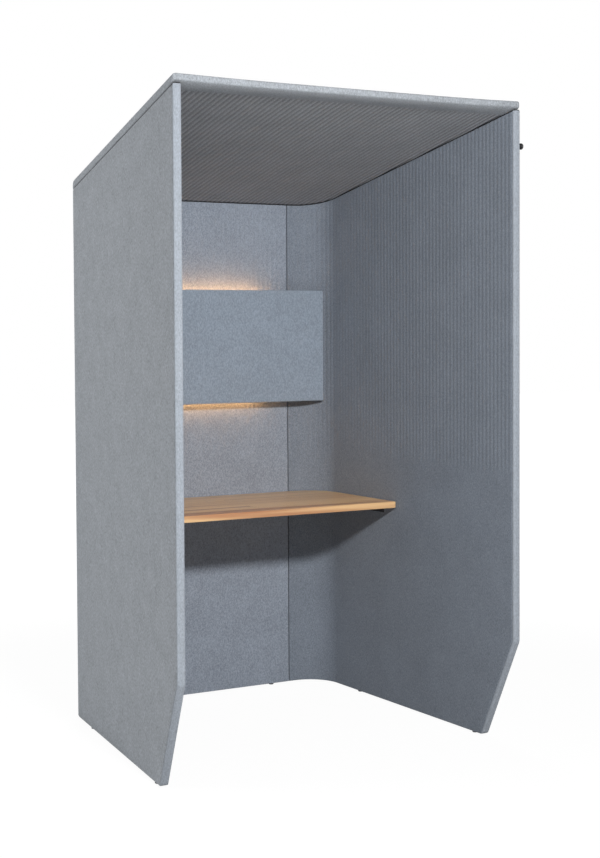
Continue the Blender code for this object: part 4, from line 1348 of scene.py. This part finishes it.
@dataclass
class Desk:
    """The wood desk top, its painted brackets and the screws that hold them."""

    shell: Shell
    finishes: Finishes
    edge_rounding: float = 0.0025
    front_radius: float = 0.005
    wall_gap: float = 0.003
    steps: int = 18
    head_radius: float = 0.0045
    head_height: float = 0.0026
    shank_radius: float = 0.0022
    socket_radius: float = 0.0019
    socket_depth: float = 0.0016
    tip_radius: float = 0.0003

    def outline(self, inset: float) -> Outline:
        """Plan outline of the desk, moved in.

        Args:
            inset: How far it is moved in.

        Returns:
            The outline's points.
        """
        low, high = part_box("desk_top")
        small = self.front_radius - inset
        large = self.shell.inner_radius - self.wall_gap - inset
        corners = self.shell.plan(self.shell.wall + self.wall_gap + inset, low.y + inset, high.y - inset)
        return rounded(corners, [small, small, large, large], self.steps)

    def make_top(self) -> None:
        """Make the desk top with its edges eased by hand."""
        low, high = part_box("desk_top")
        easing = quarter(self.edge_rounding, 5)
        rings = [(sink, low.z + inset) for inset, sink in easing]
        rings += [(sink, high.z - inset) for inset, sink in reversed(easing)]
        loops = [[(x, y, z) for x, y in self.outline(inset)] for inset, z in rings]
        piece = lofted("desk_wood_top", loops, sharp=32.0)
        dress(piece, self.finishes.desk)
        hand_over(piece, ROOT_BODY, "desk_wood", "desk_top")

    def screw_program(self) -> NodeProgram:
        """Build the tree that sets a screw on each point.

        Returns:
            A tree that turns the pattern screw to each point's "axis".
        """
        made = NodeProgram("desk_screws", {"Screw": "NodeSocketObject", "Material": "NodeSocketMaterial"})
        values = made.source.outputs
        pattern = made.node("GeometryNodeObjectInfo", {"Object": values["Screw"]})
        vector = made.attribute("axis", "FLOAT_VECTOR")
        turn = made.node("FunctionNodeAlignRotationToVector", {"Vector": vector}, axis="Z")
        inputs = {"Points": values["Geometry"], "Instance": pattern.outputs["Geometry"]}
        inputs |= {"Rotation": turn.outputs[0]}
        made.finish(made.node("GeometryNodeInstanceOnPoints", inputs).outputs[0])
        return made

    def make_pattern_screw(self, length: float) -> Piece:
        """Make one pan-head screw, head down, its seat at the origin.

        Args:
            length: From the seat to the tip.

        Returns:
            The pattern, which is removed when the screws are set.
        """
        head, height, shank = self.head_radius, self.head_height, self.shank_radius
        profile = [(self.socket_radius, self.socket_depth - height), (self.socket_radius, -height)]
        profile += [(head * 0.55, -height), (head * 0.85, -height * 0.8), (head, -height * 0.35), (head, 0.0)]
        profile += [(shank, 0.0), (shank, length - 2 * shank), (self.tip_radius, length)]
        return turned("pattern_screw", profile, Vector(), Vector((0, 0, 1)), sides=24)

    def make_screws(self) -> None:
        """Set the screws into the walls and up into the desk, as one piece each."""
        program = self.screw_program()
        directions = {side.label: self.shell.side_vector(side) for side in Side}
        directions["back"] = Vector((0, 1, 0))
        for use in ("wall", "desk"):
            names = [f"{label}_{use}_screw_{i}" for label in directions for i in (1, 2)]
            low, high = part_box(f"back_{use}_screw_1")
            reach = max(high - low)
            places, axes = [], []
            for name in names:
                low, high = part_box(name)
                axis = directions[name.split("_")[0]] if use == "wall" else Vector((0, 0, 1))
                places.append((low + high) / 2 - axis * (reach / 2 - self.head_height))
                axes.append(axis)
            pattern = self.make_pattern_screw(reach - self.head_height)
            mesh = bpy.data.meshes.new(f"{use}_screws")
            mesh.from_pydata([tuple(place) for place in places], [], [])
            flat = np.array([tuple(axis) for axis in axes], np.float32).ravel()
            mesh.attributes.new("axis", "FLOAT_VECTOR", "POINT").data.foreach_set("vector", flat)
            piece = bpy.data.objects.new(f"{use}_screws", mesh)
            bpy.context.scene.collection.objects.link(piece)
            program.run(piece, {"Screw": pattern, "Material": self.finishes.screw})
            bpy.data.objects.remove(pattern)
            hand_over(piece, ROOT_BODY, "screw", *names)

    def build(self) -> None:
        """Make all pieces of the desk."""
        self.make_top()
        self.make_screws()


@dataclass
class LitPanel:
    """The felt panel that hangs on the back wall, with lights behind its top and bottom edges."""

    finishes: Finishes
    corner_radius: float = 0.006
    face_rounding: float = 0.003
    edge_taper: float = 0.014
    felt: float = 0.008
    slack: float = 0.0008
    pocket_clearance: float = 0.0002
    steps: int = 8
    tight: float = 0.95
    least_radius: float = 0.0006
    crown: tuple[tuple[float, float], ...] = ((0.02, 0.45), (0.06, 0.0), (0.2, 0.0))

    def outline(self, inset: float) -> Outline:
        """Outline of the panel as x and height, moved in.

        Args:
            inset: How far it is moved in.

        Returns:
            The outline's points.
        """
        low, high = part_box("panel_felt")
        radius = max(self.corner_radius - inset, self.least_radius)
        left, right, foot, head = low.x + inset, high.x - inset, low.z + inset, high.z - inset
        corners = [(left, foot), (right, foot), (right, head), (left, head)]
        return rounded(corners, [radius] * 4, self.steps)

    def build(self) -> None:
        """Make the felt that is drawn over the front and edges of the panel's board."""
        low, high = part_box("panel_felt")
        seat = low.y + self.felt
        pocket = self.edge_taper + self.felt
        rings = [(pocket, seat + self.pocket_clearance), (pocket, high.y)]
        rings += [(self.edge_taper, high.y), (0.0, seat)]
        rings += [(inset, low.y + self.slack + sink) for inset, sink in quarter(self.face_rounding, 6)]
        rings += [(inset, low.y + self.slack * share) for inset, share in self.crown]
        loops = [[(x, y, z) for x, z in self.outline(inset)] for inset, y in rings]
        piece = lofted("panel_felt_face", loops, sharp=35.0)
        dress(piece, self.finishes.panel)
        hand_over(piece, PANEL_BODY, "panel_felt", "panel_felt", fill=self.tight)


@dataclass
class CoatPeg:
    """The turned peg on the outside of the right wall."""

    shell: Shell
    finishes: Finishes
    setback: float = 0.030
    reach: float = 0.032
    foot_radius: float = 0.009
    neck_radius: float = 0.0058
    head_length: float = 0.009
    foot_length: float = 0.004
    stud_radius: float = 0.003
    stud_length: float = 0.0142
    seat_gap: float = 0.0003
    foot_bevel: float = 0.001
    neck_taper: float = 0.0012
    waist: float = 0.0009
    neck_parts: int = 8
    head_back_rounding: float = 0.0024
    head_rounding: float = 0.003
    dome: float = 0.0008
    dome_middle: float = 0.0002
    tip_radius: float = 0.0008

    def build(self) -> None:
        """Turn the peg, with a soft neck and a domed head."""
        low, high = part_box("coat_peg")
        shell, reach = self.shell, self.reach
        head = (high.z - low.z) / 2
        neck_end = reach - self.head_length
        y = shell.front + self.setback
        place = Vector((shell.middle + shell.reach(0.0, y), y, (low.z + high.z) / 2))
        profile = [(self.stud_radius, -self.stud_length), (self.stud_radius, self.seat_gap)]
        profile += [(self.foot_radius, self.seat_gap), (self.foot_radius, self.foot_length - self.foot_bevel)]
        profile += [(self.foot_radius - self.foot_bevel, self.foot_length)]
        for share in np.linspace(0.0, 1.0, self.neck_parts + 1):
            waist = math.sin(math.pi * share) * self.waist
            start = self.neck_radius + self.neck_taper - self.neck_taper * share
            profile.append((start - waist, self.foot_length + (neck_end - self.foot_length) * share))
        for distance, sink in quarter(self.head_back_rounding, 5):
            profile.append((head - sink, neck_end + distance))
        for distance, sink in reversed(quarter(self.head_rounding, 6)):
            profile.append((head - sink, reach - self.dome - distance))
        profile += [(head * 0.5, reach - self.dome_middle), (self.tip_radius, reach)]
        piece = turned("coat_peg_turned", profile, place, shell.side_vector(Side.RIGHT))
        dress(piece, self.finishes.peg)
        hand_over(piece, ROOT_BODY, "peg", "coat_peg")


@dataclass
class Fittings:
    """The CAD pieces that already have their real shape and only need a finish."""

    nodes: dict[str, Piece]
    finishes: Finishes

    def table(self) -> dict[str, Material]:
        """Which finish goes on the nodes whose names hold a word.

        Returns:
            Materials by a part of a node's name.
        """
        made = self.finishes
        return {
            "board": made.board,
            "tongue": made.pin,
            "dowel": made.pin,
            "gasket": made.gasket,
            "glide": made.glide,
            "bracket": made.bracket,
            "rail": made.aluminium,
            "channel": made.aluminium,
            "tape": made.tape,
            "diffuser": made.diffuser,
            "driver": made.driver,
            "inlet": made.inlet,
        }

    def build(self) -> None:
        """Put the finishes on the nodes that stay."""
        table = self.table()
        for name, node in self.nodes.items():
            found = [material for word, material in table.items() if word in name]
            if node.hide_render or not found:
                continue
            dress(node, found[0])
            LOG.info("%s: finish %s", name, found[0].name)


@dataclass(frozen=True)
class Lamp:
    """A round lamp that looks at the booth.

    The turn is in degrees round from the front towards the left, and the rise in degrees above the horizon.
    The level is the light on a surface that faces the lamp, where 1 shows a colour as written.
    """

    name: str
    turn: float
    rise: float
    level: float
    distance: float = 5.0
    size: float = 2.5
    aim: float = 1.0

    def build(self, target: Vector) -> None:
        """Add the lamp.

        Args:
            target: The booth's middle, which the distance is measured from.
        """
        across, up = math.radians(self.turn), math.radians(self.rise)
        direction = Vector((-math.sin(across) * math.cos(up), -math.cos(across) * math.cos(up), math.sin(up)))
        data = bpy.data.lights.new(self.name, "AREA")
        data.shape = "DISK"
        data.size = self.size
        data.energy = self.level * math.pi * math.pi * self.distance**2
        lamp = bpy.data.objects.new(self.name, data)
        lamp.location = target + direction * self.distance
        aimed_at = Vector((target.x, target.y, self.aim))
        lamp.rotation_euler = (aimed_at - lamp.location).to_track_quat("-Z", "Y").to_euler()
        bpy.context.scene.collection.objects.link(lamp)


@dataclass
class Studio:
    """Pale floor, plain light and the camera."""

    target: Vector = field(default_factory=lambda: Vector((-0.02, 0.0, 1.0)))
    lamps: tuple[Lamp, ...] = (
        Lamp("key", 10.8, 23.0, 0.83, distance=3.99, size=0.34, aim=-0.6),
        Lamp("fill", 100.0, 18.0, 0.44),
        Lamp("rear", 200.0, 35.0, 0.30),
    )
    sky_level: float = 0.062
    floor_size: float = 40.0
    floor_shade: Shade = (198, 198, 198)
    floor_lift: float = 0.88
    floor_glow: float = 1.08
    floor_near: float = 1.6
    floor_far: float = 4.0
    sensor: float = 36.0
    lens: float = 62.353
    lens_shift: float = -0.0571
    camera_place: Triple = (-2.3424, -4.520, 1.382)
    camera_turn: Triple = (88.0, 0.290, -28.371)

    def make_camera(self) -> None:
        """Set the camera where the photograph was taken."""
        data = bpy.data.cameras.new("camera")
        data.lens = self.lens
        data.sensor_width = self.sensor
        data.shift_y = self.lens_shift
        camera = bpy.data.objects.new("camera", data)
        camera.location = self.camera_place
        camera.rotation_euler = [math.radians(angle) for angle in self.camera_turn]
        bpy.context.scene.collection.objects.link(camera)
        bpy.context.scene.camera = camera

    def seen_by_eye(self, nodes: Nodes) -> Socket:
        """1 on rays from the camera and on those that mirror or pass through a piece."""
        path = nodes.node("ShaderNodeLightPath", {}).outputs
        mirrored = nodes.maths("MAXIMUM", path["Is Camera Ray"], path["Is Glossy Ray"])
        return nodes.maths("MAXIMUM", mirrored, path["Is Transmission Ray"])

    def make_sky(self) -> None:
        """White behind the booth, and an even level of light from all round."""
        world = bpy.data.worlds.new("studio")
        bpy.context.scene.world = world
        world.use_nodes = True
        nodes = Nodes(world.node_tree)
        level = nodes.node("ShaderNodeMapRange", {0: self.seen_by_eye(nodes), 3: self.sky_level, 4: 1.0})
        background = nodes.tree.nodes["Background"].inputs
        nodes.feed(background["Color"], WHITE)
        nodes.feed(background["Strength"], level.outputs[0])

    def make_floor(self) -> None:
        """A pale floor that looks white and keeps the booth's shadow."""
        half = self.floor_size / 2
        mesh = bpy.data.meshes.new("floor")
        corners = [(-half, -half, 0), (half, -half, 0), (half, half, 0), (-half, half, 0)]
        mesh.from_pydata(corners, [], [(0, 1, 2, 3)])
        floor = bpy.data.objects.new("floor", mesh)
        bpy.context.scene.collection.objects.link(floor)
        material = bpy.data.materials.new("pale_floor")
        material.use_nodes = True
        nodes = Nodes(material.node_tree)
        nodes.tree.nodes.clear()
        plain = nodes.node("ShaderNodeBsdfDiffuse", {"Color": linear(self.floor_shade)})
        glow = nodes.node("ShaderNodeEmission", {"Color": WHITE, "Strength": self.floor_glow})
        place = nodes.node("ShaderNodeTexCoord", {}).outputs["Object"]
        away = nodes.node("ShaderNodeVectorMath", {0: place}, operation="LENGTH").outputs["Value"]
        inputs = {0: away, 1: self.floor_near, 2: self.floor_far, 3: self.floor_lift, 4: 1.0}
        lift = nodes.node("ShaderNodeMapRange", inputs, interpolation_type="SMOOTHSTEP").outputs[0]
        share = nodes.maths("MULTIPLY", self.seen_by_eye(nodes), lift)
        mix = nodes.node("ShaderNodeMixShader", {0: share, 1: plain.outputs[0], 2: glow.outputs[0]})
        nodes.node("ShaderNodeOutputMaterial", {0: mix.outputs[0]})
        mesh.materials.append(material)

    def build(self) -> None:
        """Set up the studio."""
        bpy.context.scene.view_settings.view_transform = "Standard"
        self.make_camera()
        self.make_sky()
        self.make_floor()
        for lamp in self.lamps:
            lamp.build(self.target)


def main() -> None:
    """Build the looks of the booth."""
    logging.basicConfig(level=logging.INFO, format="%(name)s: %(message)s")
    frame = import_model()
    Studio().build()
    finishes = Finishes()
    shell = Shell.from_frame()
    ribs = Ribs()
    pressing = ribs.program()
    for side in Side:
        SideWall(shell, ribs, pressing, finishes, side=side).build()
    BackWall(shell, ribs, pressing, finishes).build()
    Roof(shell, Ribs(depth=CEILING_GROOVE_DEPTH), pressing, finishes).build()
    Desk(shell, finishes).build()
    LitPanel(finishes).build()
    CoatPeg(shell, finishes).build()
    Fittings(frame["nodes"], finishes).build()


if __name__ == "__main__":
    main()
